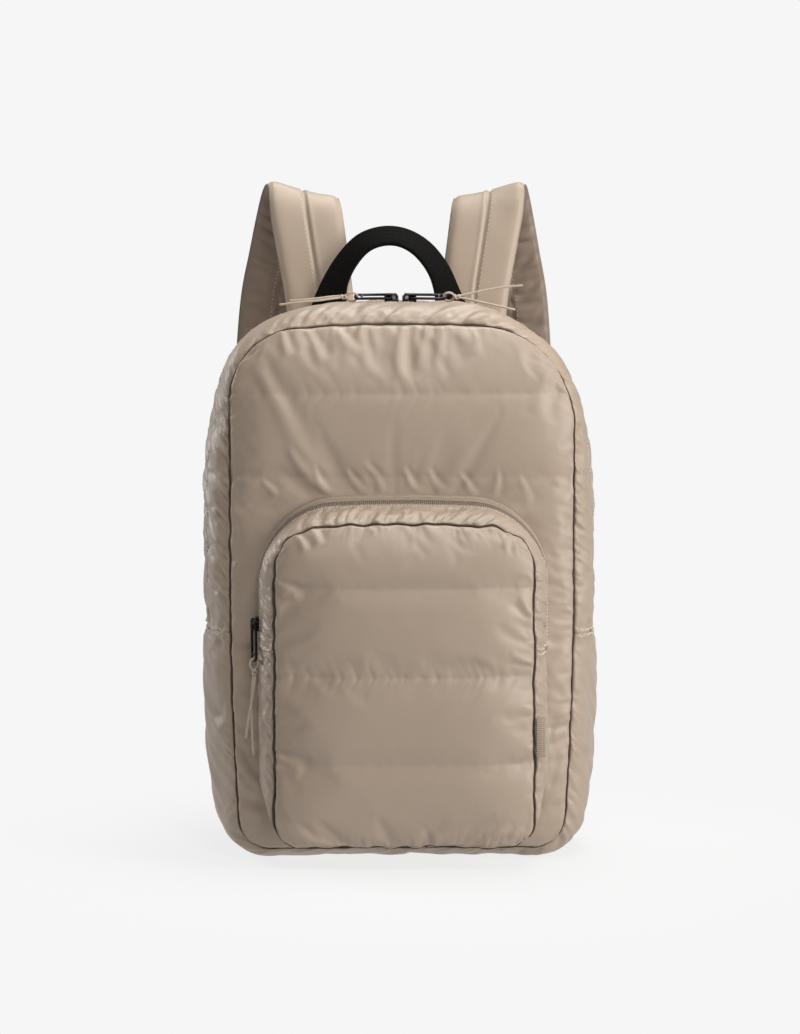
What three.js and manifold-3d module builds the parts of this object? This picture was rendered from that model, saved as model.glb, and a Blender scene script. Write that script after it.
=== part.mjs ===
// A quilted puffer backpack: a padded main compartment with a zip over the top, a puffed front pocket,
// a folded webbing handle and two padded shoulder straps. Millimetres, X across, Y from front to back, Z up.
// The origin is the middle of the flat base that the bag stands on.
import * as THREE from "three";
import { mergeVertices } from "three/addons/utils/BufferGeometryUtils.js";
import Module from "manifold-3d";

const wasm = await Module();
wasm.setup();

// Main compartment
const bagWidth = 307;
const bagHeight = 432;
const gussetDepth = 104;
const frontSideInset = 20;
const frontTopInset = 16;
const frontFootInset = 9;
const backSideInset = 5;
const backTopInset = 11;
const backFootInset = 6;
const leftCornerRadius = 84;
const rightCornerRadius = 104;
const footCornerRadius = 34;
const seamCornerTightening = 34;
const topArch = 9;
const footTaper = 8;

// Padding and seams
const paddedWall = 6;
const seamWall = 2.4;
const seamGap = 0.4;
const panelPillow = 9;
const panelCrown = 7;
const quiltDepth = 3;
const gatherDepth = 1.2;
const edgeRoll = 42;
const backPillow = 5;
const backCrown = 2;

// Main zip, let into the gusset in front of its middle
const zipOffset = -8;
const zipWidth = 11;
const zipTapeThickness = 1.4;
const zipRecess = 1;
const zipCoilWidth = 4;
const zipCoilHeight = 1.2;

// Front pocket
const pocketWidth = 222;
const pocketBottom = 28;
const pocketTop = 285;
const pocketDepth = 37;
const pocketSeat = 12;
const pocketSeatMargin = 8;
const pocketSeatBlend = 20;
const pocketCornerRadius = 58;
const pocketFootCornerRadius = 48;
const pocketSeamSideInset = 11.5;
const pocketSeamTopInset = 19;
const pocketSeamFootDrop = 10;
const pocketCornerTightening = 26;
const pocketArch = 6;
const pocketWall = 3.4;
const pocketPillow = 6.5;
const pocketCrown = 6;
const pocketRoll = 30;
const pocketZipWidth = 8;
const pocketZipSetBack = 5;

// Carry handle: webbing folded double between its two flat feet
const handleWidth = 30;
const handleThickness = 1.8;
const handleSpan = 102;
const handleOffset = -6;
const handleRise = 63;
const handleSewnLength = 22;
const gripWidth = 19;
const gripThickness = 4.6;

// Shoulder straps, their adjusters and the webbing below them
const strapWidth = 58;
const strapTipWidth = 32;
const strapThickness = 8;
const strapGroove = 1.6;
const strapSpacing = 124;
const strapRise = 98;
const strapReach = 84;
const strapRootDrop = 62;
const strapTipHeight = 238;
const webbingWidth = 25;
const webbingThickness = 1.6;
const webbingSewnLength = 24;
const webbingInset = 35.5;
const webbingSpacing = bagWidth - 2 * webbingInset;
const webbingFootHeight = 58;
const adjusterWidth = 34;
const adjusterBar = 3;
const adjusterSlot = 8;
const adjusterThickness = 4;

// Zip pulls: a slider, a looped metal puller and a knotted cord with two tails
const sliderLength = 11;
const sliderWidth = 7;
const sliderHeight = 3;
const bridgeWidth = 2.2;
const bridgeRise = 4;
const bridgeWall = 1;
const pullerLength = 30;
const pullerWidth = 6.4;
const pullerThickness = 1.8;
const pullerBar = 1.6;
const pullerCorner = 2;
const pullerEyeRadius = 2.1;
const pullerEyeBlock = 7;
const pullFit = 0.35;
const cordDiameter = 1.8;
const knotRadius = 2.2;

// Side label: a folded tab in the pocket's front seam
const labelHeight = 32;
const labelReach = 7;
const labelThickness = 1.2;
const labelCentre = 103;

// Divisions of the panels, from seam to seam; one quilted channel is quiltRows rows high
const rows = 25;
const columns = 12;
const crossSeamRow = 10;
const pocketRows = 15;
const pocketColumns = 10;
const pocketCrossSeamRow = 8;
const quiltRows = 4;
const firstQuiltRow = 2;
const firstPocketQuiltRow = 4;

const frontSeamY = -gussetDepth / 2;
const backSeamY = gussetDepth / 2;
const zipFrontY = zipOffset - zipWidth / 2;
const zipBackY = zipOffset + zipWidth / 2;
const pocketBaseY = frontSeamY - pocketSeat - seamGap;
const pocketSeamY = pocketBaseY - pocketDepth;
const pocketZipBackY = pocketBaseY - pocketZipSetBack;
const pocketZipFrontY = pocketZipBackY - pocketZipWidth;

const finish = (color, roughness, metalness) => () => new THREE.MeshStandardMaterial({ color, roughness, metalness });
const shellFabric = finish(0xa8937f, 0.55, 0);
const strapFabric = finish(0xa3917f, 0.6, 0);
const zipFabric = finish(0x9a8876, 0.75, 0);
const cordFabric = finish(0xb9a993, 0.7, 0);
const blackWebbing = finish(0x26241f, 0.85, 0);
const blackPlastic = finish(0x1d1c1b, 0.5, 0);
const blackMetal = finish(0x1b1b1d, 0.35, 0.7);

const lerp = THREE.MathUtils.lerp;
const radians = THREE.MathUtils.degToRad;
const vector = (x, y, z) => new THREE.Vector3(x, y, z);

function named(name, geometry, material) {
  const mesh = new THREE.Mesh(geometry, material());
  mesh.name = name;
  return mesh;
}

// A closed geometry from points and faces, turned so that its faces point outwards.
function closedGeometry(points, faces) {
  const cone = ([a, b, c]) => points[a].dot(vector().crossVectors(points[b], points[c]));
  const inward = faces.reduce((sum, face) => sum + cone(face), 0) < 0;
  const geometry = new THREE.BufferGeometry().setFromPoints(points);
  geometry.setIndex(faces.flatMap(([a, b, c]) => (inward ? [a, c, b] : [a, b, c])));
  geometry.computeVertexNormals();
  return geometry;
}

// A sheet with a thickness: an outer and an inner grid of the same divisions, joined round their rims.
function plate(outer, inner) {
  const rowCount = outer.length;
  const columnCount = outer[0].length;
  const at = (side, i, j) => (side * rowCount + i) * columnCount + j;
  const faces = [];
  for (let i = 0; i + 1 < rowCount; i++) {
    for (let j = 0; j + 1 < columnCount; j++) {
      for (const side of [0, 1]) {
        const [a, b, c, d] = [at(side, i, j), at(side, i, j + 1), at(side, i + 1, j + 1), at(side, i + 1, j)];
        faces.push(...(side ? [[a, c, b], [a, d, c]] : [[a, b, c], [a, c, d]]));
      }
    }
  }
  const rim = [];
  for (let j = 0; j < columnCount - 1; j++) rim.push([0, j]);
  for (let i = 0; i < rowCount - 1; i++) rim.push([i, columnCount - 1]);
  for (let j = columnCount - 1; j > 0; j--) rim.push([rowCount - 1, j]);
  for (let i = rowCount - 1; i > 0; i--) rim.push([i, 0]);
  rim.forEach((here, k) => {
    const next = rim[(k + 1) % rim.length];
    faces.push([at(0, ...next), at(0, ...here), at(1, ...here)], [at(0, ...next), at(1, ...here), at(1, ...next)]);
  });
  return closedGeometry([...outer.flat(), ...inner.flat()], faces);
}

// A solid swept through closed rings of points, each end closed by a fan round the ring's middle.
function swept(rings) {
  const count = rings[0].length;
  const points = rings.flat();
  const faces = [];
  const last = rings.length - 1;
  for (let i = 0; i < last; i++) {
    for (let j = 0; j < count; j++) {
      const a = i * count + j;
      const b = i * count + ((j + 1) % count);
      faces.push([a, b, b + count], [a, b + count, a + count]);
    }
  }
  for (const i of [0, last]) {
    const middle = rings[i].reduce((sum, point) => sum.add(point), vector()).divideScalar(count);
    const hub = points.push(middle) - 1;
    for (let j = 0; j < count; j++) {
      const a = i * count + j;
      const b = i * count + ((j + 1) % count);
      faces.push(i ? [hub, a, b] : [hub, b, a]);
    }
  }
  return closedGeometry(points, faces);
}

// Overlapping closed geometries fused into one.
function fused(...geometries) {
  const solids = geometries.map((geometry) => {
    const bare = geometry.clone();
    bare.deleteAttribute("normal");
    bare.deleteAttribute("uv");
    const merged = mergeVertices(bare, 1e-4);
    const vertProperties = new Float32Array(merged.attributes.position.array);
    const triVerts = new Uint32Array(merged.index.array);
    return new wasm.Manifold(new wasm.Mesh({ numProp: 3, vertProperties, triVerts }));
  });
  const mesh = solids.reduce((sum, solid) => sum.add(solid)).getMesh();
  const geometry = new THREE.BufferGeometry();
  geometry.setAttribute("position", new THREE.BufferAttribute(mesh.vertProperties, 3));
  geometry.setIndex(new THREE.BufferAttribute(mesh.triVerts, 1));
  geometry.computeVertexNormals();
  return geometry;
}

// Where a straight line first meets a mesh.
function hit(mesh, from, direction) {
  return new THREE.Raycaster(from, direction.clone().normalize()).intersectObject(mesh)[0].point;
}

// An upright outline with rounded corners, as four edges that meet in the middle of each corner arc.
function outline(shape, rowCount, columnCount) {
  const { half, bottom, top, left, right, foot, arch, taper } = shape;
  const shoulder = top - arch;
  const eighth = Math.PI / 4;
  const corner = (side, z, radius, turns) => ({ x: side * (half - radius), z, radius, angle: turns * eighth });
  const footLeft = corner(-1, bottom + foot, foot, 5);
  const footRight = corner(1, bottom + foot, foot, 7);
  const topRight = corner(1, shoulder - right, right, 1);
  const topLeft = corner(-1, shoulder - left, left, 3);
  const edge = (from, to, clockwise, count) => {
    const turn = clockwise ? -eighth : eighth;
    const path = new THREE.Path();
    path.absarc(from.x, from.z, from.radius, from.angle, from.angle + turn, clockwise);
    path.absarc(to.x, to.z, to.radius, to.angle - turn, to.angle, clockwise);
    return path.getSpacedPoints(count).map(({ x, y }) => {
      const height = THREE.MathUtils.clamp((y - bottom) / (shoulder - bottom), 0, 1);
      const rise = arch * (1 - (x / half) ** 2) * height ** 3;
      const draw = (taper * (1 - Math.min(1, 2 * height)) ** 2) / half;
      return new THREE.Vector2(x * (1 - draw), y + rise);
    });
  };
  return {
    bottom: edge(footLeft, footRight, false, columnCount),
    top: edge(topLeft, topRight, true, columnCount),
    left: edge(footLeft, topLeft, true, rowCount),
    right: edge(footRight, topRight, false, rowCount),
  };
}

// The outline's points once around, anticlockwise from the lower left corner.
function around({ bottom, top, left, right }) {
  const edges = [bottom, right, top.toReversed(), left.toReversed()];
  return edges.flatMap((edge) => edge.slice(0, -1));
}

// The grid of points that an outline's four edges span, row by row from the bottom.
function spanned({ bottom, top, left, right }) {
  const lastRow = left.length - 1;
  const lastColumn = bottom.length - 1;
  return left.map((start, i) => {
    const v = i / lastRow;
    return bottom.map((foot, j) => {
      const u = j / lastColumn;
      const [x, z] = ["x", "y"].map((key) => {
        const edges = lerp(foot[key], top[j][key], v) + lerp(start[key], right[i][key], u);
        const low = lerp(bottom[0][key], bottom[lastColumn][key], u);
        const high = lerp(top[0][key], top[lastColumn][key], u);
        return edges - lerp(low, high, v);
      });
      return { x, z, u, v, i };
    });
  });
}

// The run of a ring's points at the given stations, drawn in at both ends to leave a gap there.
function stretch(ring, stations, moved) {
  const at = (station) => ring[(station + ring.length) % ring.length];
  const last = stations.length - 1;
  return stations.map((station, k) => {
    const here = at(station);
    if (k > 0 && k < last) return moved(here, station);
    const beside = at(stations[k ? last - 1 : 1]);
    return here.clone().lerp(beside, seamGap / here.distanceTo(beside));
  });
}

const run = (first, last) => Array.from({ length: last - first + 1 }, (_, k) => first + k);

// A strip of gusset through a row of sections, each an outline at its own depth.
function gussetStrip(sections, stations, outlineOf) {
  const last = sections.length - 1;
  const centre = new THREE.Vector2(0, bagHeight / 2);
  const side = (inner) =>
    sections.map((section, row) => {
      const ring = around(outlineOf(section, inner ? section.thickness : 0));
      const besideSeam = row === 1 || row === last - 1;
      const gathered = (point, station) => {
        if (inner || !besideSeam || station % 2) return point;
        const outward = point.clone().sub(centre).normalize();
        return point.clone().addScaledVector(outward, -gatherDepth);
      };
      return stretch(ring, stations, gathered).map((point) => vector(point.x, section.y, point.y));
    });
  return plate(side(false), side(true));
}

// The gusset from the front seam to the zip's front edge, and from its back edge to the back seam.
// depth: share of that part; side, top, foot: shares of the seam's insets; padding: share of the padding.
const frontPart = [
  { depth: 0, side: 1, top: 1, foot: 1, padding: 0 },
  { depth: 0.06, side: 0.72, top: 0.6, foot: 0.6, padding: 0.4 },
  { depth: 0.24, side: 0.42, top: 0.28, foot: 0.16, padding: 1 },
  { depth: 0.55, side: 0.24, top: 0.07, foot: 0, padding: 1 },
  { depth: 1, side: 0.1, top: 0, foot: 0, padding: 0.1 },
];
const backPart = [
  { depth: 0, side: 0.4, top: 0, foot: 0, padding: 0.1 },
  { depth: 0.4, side: 0, top: 0.08, foot: 0, padding: 1 },
  { depth: 0.76, side: 0.2, top: 0.34, foot: 0.1, padding: 1 },
  { depth: 0.95, side: 0.66, top: 0.72, foot: 0.6, padding: 0.4 },
  { depth: 1, side: 1, top: 1, foot: 1, padding: 0 },
];

function gussetSections(table, from, to, insets) {
  return table.map(({ depth, side, top, foot, padding }) => ({
    y: lerp(from, to, depth),
    side: side * insets.side,
    top: top * insets.top,
    foot: foot * insets.foot,
    thickness: lerp(seamWall, paddedWall, padding),
  }));
}

const frontInsets = { side: frontSideInset, top: frontTopInset, foot: frontFootInset };
const backInsets = { side: backSideInset, top: backTopInset, foot: backFootInset };
const frontSections = gussetSections(frontPart, frontSeamY + seamGap, zipFrontY, frontInsets);
const backSections = gussetSections(backPart, zipBackY, backSeamY - seamGap, backInsets);

// The main compartment's outline, drawn in by the given insets and by a wall.
function bagOutline({ side, top, foot }, wall) {
  const tightening = (seamCornerTightening * side) / frontSideInset + wall;
  const shape = {
    half: bagWidth / 2 - side - wall,
    bottom: foot + wall,
    top: bagHeight - top - wall,
    left: leftCornerRadius - tightening,
    right: rightCornerRadius - tightening,
    foot: footCornerRadius - foot - wall,
    arch: topArch,
    taper: footTaper,
  };
  return outline(shape, rows, columns);
}

const ringLength = 2 * (rows + columns);
const upperRun = run(columns + crossSeamRow, ringLength - crossSeamRow);
const lowerRun = run(-crossSeamRow, columns + crossSeamRow);

// The upper gusset carries the zip between its two strips, and the lower gusset goes under the bag.
function makeGusset() {
  const whole = [...frontSections.slice(0, -1), ...backSections.slice(1)];
  return [
    named("gusset_front_strip", gussetStrip(frontSections, upperRun, bagOutline), shellFabric),
    named("gusset_back_strip", gussetStrip(backSections, upperRun, bagOutline), shellFabric),
    named("lower_gusset", gussetStrip(whole, lowerRun, bagOutline), shellFabric),
  ];
}

// A zip tape with its coil raised along the middle, between two strips and a little below their surface.
function zipTape(frontY, backY, stations, outlineAt) {
  const middle = (frontY + backY) / 2;
  const section = [
    { y: frontY + seamGap, lift: 0 },
    { y: middle - zipCoilWidth / 2, lift: 0 },
    { y: middle - zipCoilWidth / 4, lift: zipCoilHeight },
    { y: middle + zipCoilWidth / 4, lift: zipCoilHeight },
    { y: middle + zipCoilWidth / 2, lift: 0 },
    { y: backY - seamGap, lift: 0 },
    { y: backY - seamGap, lift: -zipTapeThickness },
    { y: frontY + seamGap, lift: -zipTapeThickness },
  ];
  const lines = section.map(({ y, lift }) => {
    const ring = around(outlineAt(y, zipRecess - lift));
    return stretch(ring, stations, (point) => point).map((point) => vector(point.x, y, point.y));
  });
  return swept(stations.map((_, k) => lines.map((line) => line[k])));
}

function makeMainZip() {
  const level = frontSections.at(-1);
  const tape = zipTape(zipFrontY, zipBackY, upperRun, (y, wall) => bagOutline(level, wall));
  return named("main_zip", tape, zipFabric);
}

// How far padding has risen at a distance from its seam, as a share of its full puff.
const rolled = (distance, roll) => 1 - (1 - Math.min(1, distance / roll)) ** 2.5;

// A padded panel over a grid: a pillow that rises from the seams, the crown of the whole and quilted valleys.
function paddedPanel(grid, { seamY, outward, roll, pillow, crown, channels, seat }) {
  const width = grid[0].at(-1).x - grid[0][0].x;
  const height = grid.at(-1)[0].z - grid[0][0].z;
  const last = grid.length - 1;
  const puffs = grid.map((line) =>
    line.map(({ x, z, u, v, i }) => {
      const risen = rolled(Math.min(u, 1 - u) * width, roll) * rolled(Math.min(v, 1 - v) * height, roll);
      const dome = crown * Math.abs(Math.sin(Math.PI * u) * Math.sin(Math.PI * v)) ** 0.7;
      const stitched = channels !== undefined && i < last && (i - channels) % quiltRows === 0;
      const free = (pillow - (stitched ? quiltDepth : 0)) * risen + dome;
      const seated = seat ? seat(x, z) * Math.sign(risen) : 0;
      const outer = lerp(free, pocketSeat - seamWall, seated);
      return { x, z, outer: outer + seamWall, inner: Math.min(dome, outer) };
    }),
  );
  const surface = (key) =>
    puffs.map((line) => line.map((puff) => vector(puff.x, seamY + outward * puff[key], puff.z)));
  return plate(surface("outer"), surface("inner"));
}

// How far the front panel is pressed flat at a point: fully under the pocket and its margin, less outside them.
function pocketSeating(x, z) {
  const halfHeight = (pocketTop - pocketBottom) / 2;
  const across = Math.abs(x) - pocketWidth / 2 + pocketCornerRadius;
  const upward = Math.abs(z - pocketBottom - halfHeight) - halfHeight + pocketCornerRadius;
  const outside = Math.hypot(Math.max(across, 0), Math.max(upward, 0)) - pocketCornerRadius;
  return THREE.MathUtils.smoothstep(pocketSeatMargin + pocketSeatBlend - outside, 0, pocketSeatBlend);
}

function makeFrontPanel() {
  const grid = spanned(bagOutline(frontInsets, 0));
  const shape = { seamY: frontSeamY, outward: -1, roll: edgeRoll, pillow: panelPillow, crown: panelCrown };
  const geometry = paddedPanel(grid, { ...shape, channels: firstQuiltRow, seat: pocketSeating });
  return named("front_panel", geometry, shellFabric);
}

function makeBackPanel() {
  const grid = spanned(bagOutline(backInsets, 0));
  const shape = { seamY: backSeamY, outward: 1, roll: edgeRoll, pillow: backPillow, crown: backCrown };
  return named("back_panel", paddedPanel(grid, shape), shellFabric);
}

// The pocket's gusset on its way from the front panel to the pocket's front seam.
// out: share of the pocket's depth; inset, corner: shares of the front seam's; padding: share of the padding.
const pocketPart = [
  { out: 0, inset: 0, corner: 0, padding: 0.2 },
  { out: 0.35, inset: 0.1, corner: 0.15, padding: 0.2 },
  { out: 0.62, inset: 0.24, corner: 0.4, padding: 1 },
  { out: 0.82, inset: 0.46, corner: 0.64, padding: 1 },
  { out: 0.94, inset: 0.76, corner: 0.88, padding: 0.5 },
  { out: 1, inset: 1, corner: 1, padding: 0 },
];

function pocketSectionAt(y) {
  const out = (pocketBaseY - y) / (pocketDepth - seamGap);
  const k = Math.max(1, pocketPart.findIndex((section) => section.out > out - 1e-6));
  const [before, after] = [pocketPart[k - 1], pocketPart[k]];
  const share = (out - before.out) / (after.out - before.out);
  const between = (key) => lerp(before[key], after[key], share);
  const thickness = lerp(seamWall, pocketWall, between("padding"));
  return { y, inset: between("inset"), corner: between("corner"), thickness };
}

function pocketOutline({ inset, corner }, wall) {
  const tightening = pocketCornerTightening * corner + wall;
  const shape = {
    half: pocketWidth / 2 - pocketSeamSideInset * inset - wall,
    bottom: pocketBottom - pocketSeamFootDrop * inset + wall,
    top: pocketTop - pocketSeamTopInset * inset - wall,
    left: pocketCornerRadius - tightening,
    right: pocketCornerRadius - tightening,
    foot: pocketFootCornerRadius - tightening,
    arch: pocketArch,
    taper: 0,
  };
  return outline(shape, pocketRows, pocketColumns);
}

const pocketRingLength = 2 * (pocketRows + pocketColumns);
const pocketUpperRun = run(pocketColumns + pocketCrossSeamRow, pocketRingLength - pocketCrossSeamRow);
const pocketLowerRun = run(-pocketCrossSeamRow, pocketColumns + pocketCrossSeamRow);

function makePocketGusset() {
  const depths = pocketPart.map(({ out }) => pocketBaseY - out * (pocketDepth - seamGap));
  const inFront = depths.filter((y) => y < pocketZipFrontY - seamGap);
  const strip = (ys, stations) => gussetStrip(ys.map(pocketSectionAt), stations, pocketOutline);
  const zipOutline = (y, wall) => pocketOutline(pocketSectionAt(y), wall);
  const tape = zipTape(pocketZipFrontY, pocketZipBackY, pocketUpperRun, zipOutline);
  return [
    named("pocket_inner_strip", strip([pocketBaseY, pocketZipBackY], pocketUpperRun), shellFabric),
    named("pocket_zip", tape, zipFabric),
    named("pocket_outer_strip", strip([pocketZipFrontY, ...inFront], pocketUpperRun), shellFabric),
    named("pocket_lower_gusset", strip(depths, pocketLowerRun), shellFabric),
  ];
}

function makePocketPanel() {
  const grid = spanned(pocketOutline(pocketPart.at(-1), 0));
  const shape = { seamY: pocketSeamY, outward: -1, roll: pocketRoll, pillow: pocketPillow, crown: pocketCrown };
  return named("pocket_panel", paddedPanel(grid, { ...shape, channels: firstPocketQuiltRow }), shellFabric);
}

// The folded label, whose inner edge lies against the pocket's front seam.
function makeLabel(pocketPanel) {
  const y = pocketSeamY - seamWall / 2;
  const seam = hit(pocketPanel, vector(bagWidth, y, labelCentre), vector(-1, 0, 0));
  const geometry = new THREE.BoxGeometry(labelReach, labelThickness, labelHeight);
  geometry.translate(seam.x + seamGap + labelReach / 2, y, labelCentre);
  return named("side_label", geometry, zipFabric);
}

// The depth of the back panel's face under a band of the given width.
function backFaceY(backPanel, x, z, width) {
  const lines = [-width / 2, 0, width / 2].map((step) => vector(x + step, strapReach * 4, z));
  return Math.max(...lines.map((from) => hit(backPanel, from, vector(0, -1, 0)).y));
}

// A flat section with rounded edges and a groove along the middle of its outer face.
function bandSection(width, thickness, groove) {
  const half = width / 2;
  const high = thickness / 2;
  const flat = half - Math.min(high, half / 3);
  const lip = width / 16;
  const upper = [[-half, 0], [-flat, high], [-lip, high], [0, high - groove], [lip, high], [flat, high]];
  const lower = [[half, 0], [flat, -high], [0, -high], [-flat, -high]];
  return [...upper, ...lower];
}

// Rings of a band: each frame has its middle, its way across, its outward normal and its section.
const bandRings = (frames) =>
  frames.map(({ middle, across, normal, section }) =>
    section.map(([a, b]) => middle.clone().addScaledVector(across, a).addScaledVector(normal, b)),
  );

// The handle's stations from its left foot over the grip to its right foot.
// span: share of handleSpan from the middle; rise: share of handleRise above the bag, or of the sewn length
// below it; fold: 0 flat, 1 folded into the grip; lean: degrees that the band turns its edge to the front;
// turn: degrees that the band has turned from straight up.
const handleStations = [
  { span: -0.5, rise: -1, fold: 0, lean: 0, turn: 0 },
  { span: -0.5, rise: -0.5, fold: 0, lean: 0, turn: 0 },
  { span: -0.5, rise: 0, fold: 0, lean: 0, turn: 4 },
  { span: -0.48, rise: 0.3, fold: 0.1, lean: 6, turn: 16 },
  { span: -0.43, rise: 0.55, fold: 0.8, lean: 16, turn: 34 },
  { span: -0.34, rise: 0.76, fold: 1, lean: 28, turn: 50 },
  { span: -0.21, rise: 0.93, fold: 1, lean: 36, turn: 68 },
  { span: -0.05, rise: 1, fold: 1, lean: 40, turn: 86 },
  { span: 0.11, rise: 0.98, fold: 1, lean: 40, turn: 100 },
  { span: 0.26, rise: 0.87, fold: 1, lean: 34, turn: 116 },
  { span: 0.38, rise: 0.68, fold: 1, lean: 24, turn: 134 },
  { span: 0.45, rise: 0.46, fold: 0.8, lean: 14, turn: 150 },
  { span: 0.49, rise: 0.24, fold: 0.1, lean: 5, turn: 166 },
  { span: 0.5, rise: 0, fold: 0, lean: 0, turn: 176 },
  { span: 0.5, rise: -0.5, fold: 0, lean: 0, turn: 180 },
  { span: 0.5, rise: -1, fold: 0, lean: 0, turn: 180 },
];

function makeHandle(backPanel) {
  const edge = bagHeight - backTopInset;
  const seated = edge - edgeRoll / 2;
  const frames = handleStations.map(({ span, rise, fold, lean, turn }) => {
    const x = handleOffset + span * handleSpan;
    const z = rise < 0 ? seated + rise * handleSewnLength : lerp(seated, edge + handleRise, rise);
    const along = vector(Math.sin(radians(turn)), 0, Math.cos(radians(turn)));
    const across = vector(along.z, 0, -along.x).multiplyScalar(Math.cos(radians(lean)));
    across.y = -Math.sin(radians(lean));
    const normal = vector().crossVectors(across, along).normalize();
    const face = backFaceY(backPanel, x, Math.min(z, seated), handleWidth);
    const section = bandSection(lerp(handleWidth, gripWidth, fold), lerp(handleThickness, gripThickness, fold), 0);
    return { middle: vector(x, face + seamGap + handleThickness / 2, z), across, normal, section };
  });
  return named("carry_handle", swept(bandRings(frames)), blackWebbing);
}

// A shoulder strap's stations from its root on the back panel, up, over and down to its tip.
// across: share of the way from the root's line to the webbing's foot; reach: share of strapReach;
// root: share of strapRootDrop below the bag's top edge; up: share of strapRise above it; down: share of the way
// from it to the tip; tilt: degrees that the outer edge stands higher; wide: share from the tip's width.
const strapStations = [
  { across: 0, reach: 0, root: 1, tilt: 0, wide: 1 },
  { across: 0, reach: 0.01, root: 0.55, tilt: 0, wide: 1 },
  { across: 0.02, reach: 0.04, root: 0.1, tilt: 0, wide: 1 },
  { across: 0.06, reach: 0.07, up: 0.24, tilt: 3, wide: 1 },
  { across: 0.13, reach: 0.11, up: 0.56, tilt: 7, wide: 1 },
  { across: 0.19, reach: 0.16, up: 0.82, tilt: 12, wide: 1 },
  { across: 0.23, reach: 0.23, up: 0.95, tilt: 15, wide: 1 },
  { across: 0.27, reach: 0.33, up: 1, tilt: 15, wide: 1 },
  { across: 0.32, reach: 0.45, up: 0.95, tilt: 13, wide: 1 },
  { across: 0.38, reach: 0.58, up: 0.78, tilt: 10, wide: 1 },
  { across: 0.46, reach: 0.72, up: 0.48, tilt: 7, wide: 1 },
  { across: 0.55, reach: 0.86, up: 0.12, tilt: 4, wide: 1 },
  { across: 0.63, reach: 0.96, down: 0.22, tilt: 2, wide: 1 },
  { across: 0.71, reach: 1, down: 0.56, tilt: 1, wide: 0.95 },
  { across: 0.77, reach: 0.98, down: 0.84, tilt: 0, wide: 0.7 },
  { across: 0.8, reach: 0.95, down: 1, tilt: 0, wide: 0 },
];

const alongAt = (points, k) =>
  points[Math.min(k + 1, points.length - 1)].clone().sub(points[Math.max(k - 1, 0)]).normalize();

function strapFrames(backPanel, side) {
  const edge = bagHeight - backTopInset;
  const seated = edge - edgeRoll / 2;
  const points = strapStations.map(({ across, reach, root = 0, up = 0, down = 0 }) => {
    const x = (side * lerp(strapSpacing, webbingSpacing, across)) / 2;
    const z = edge - root * strapRootDrop - down * (edge - strapTipHeight) + up * strapRise;
    const face = backFaceY(backPanel, (side * strapSpacing) / 2, Math.min(z, seated), strapWidth);
    return vector(x, face + handleThickness + 2 * seamGap + strapThickness / 2 + reach * strapReach, z);
  });
  return strapStations.map(({ tilt, wide }, k) => {
    const along = alongAt(points, k);
    const across = vector(side * Math.cos(radians(tilt)), 0, Math.sin(radians(tilt)));
    across.addScaledVector(along, -across.dot(along)).normalize();
    const normal = vector().crossVectors(along, across).multiplyScalar(side).normalize();
    const section = bandSection(lerp(strapTipWidth, strapWidth, wide), strapThickness, strapGroove);
    return { middle: points[k], across, normal, section };
  });
}

// The webbing's way from the strap's tip down to its foot, which is sewn flat on the back panel.
function webbingLine(backPanel, tip, side) {
  const x = (side * webbingSpacing) / 2;
  const face = backFaceY(backPanel, x, webbingFootHeight, webbingWidth);
  const foot = vector(x, face + seamGap + webbingThickness, webbingFootHeight);
  const down = foot.clone().sub(tip).normalize();
  const across = vector(side, 0, 0).addScaledVector(down, -side * down.x).normalize();
  return { foot, down, across, normal: vector().crossVectors(across, down).multiplyScalar(side).normalize() };
}

const adjusterHeight = 3 * adjusterBar + 2 * adjusterSlot;
const adjusterStart = 2 * seamGap + webbingThickness / 2;

// The adjuster: a frame with two slots, so with three bars that the webbing is threaded over and under.
function makeAdjuster(tip, line, side, name) {
  const half = adjusterWidth / 2;
  const inside = half - adjusterBar;
  const shape = new THREE.Shape();
  shape.moveTo(-half, 0).lineTo(half, 0).lineTo(half, adjusterHeight).lineTo(-half, adjusterHeight);
  for (const low of [adjusterBar, 2 * adjusterBar + adjusterSlot]) {
    const high = low + adjusterSlot;
    const slot = new THREE.Path();
    slot.moveTo(-inside, low).lineTo(-inside, high).lineTo(inside, high).lineTo(inside, low);
    shape.holes.push(slot);
  }
  const geometry = new THREE.ExtrudeGeometry(shape, { depth: adjusterThickness, bevelEnabled: false });
  geometry.translate(0, 0, -adjusterThickness / 2);
  const mesh = named(name, geometry, blackPlastic);
  const across = line.across.clone().multiplyScalar(side);
  const facing = vector().crossVectors(across, line.down);
  mesh.setRotationFromMatrix(new THREE.Matrix4().makeBasis(across, line.down, facing));
  mesh.position.copy(tip).addScaledVector(line.down, adjusterStart);
  return mesh;
}

function makeWebbing(tip, line, side, name) {
  const over = adjusterThickness / 2 + seamGap + webbingThickness / 2;
  const pitch = adjusterBar + adjusterSlot;
  const turn = adjusterSlot / 4;
  const crossings = [1, -1, 1].flatMap((face, k) => [
    { down: adjusterStart + k * pitch - turn * Math.min(k, 1), off: face * over },
    { down: adjusterStart + k * pitch + adjusterBar + turn, off: face * over },
  ]);
  const length = line.foot.distanceTo(tip);
  const straight = [0.5, 1].map((share) => ({ down: share * length, off: 0 }));
  const points = [...crossings, ...straight].map(({ down, off }) =>
    tip.clone().addScaledVector(line.down, down).addScaledVector(line.normal, off),
  );
  points.push(line.foot.clone().setZ(line.foot.z - webbingSewnLength));
  const half = webbingWidth / 2;
  const high = webbingThickness / 2;
  const section = [[-half, -high], [half, -high], [half, high], [-half, high]];
  const frames = points.map((middle, k) => {
    const along = alongAt(points, k);
    const across = vector(side, 0, 0).addScaledVector(along, -side * along.x).normalize();
    return { middle, across, normal: vector().crossVectors(across, along).normalize(), section };
  });
  return named(name, swept(bandRings(frames)), blackWebbing);
}

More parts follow.
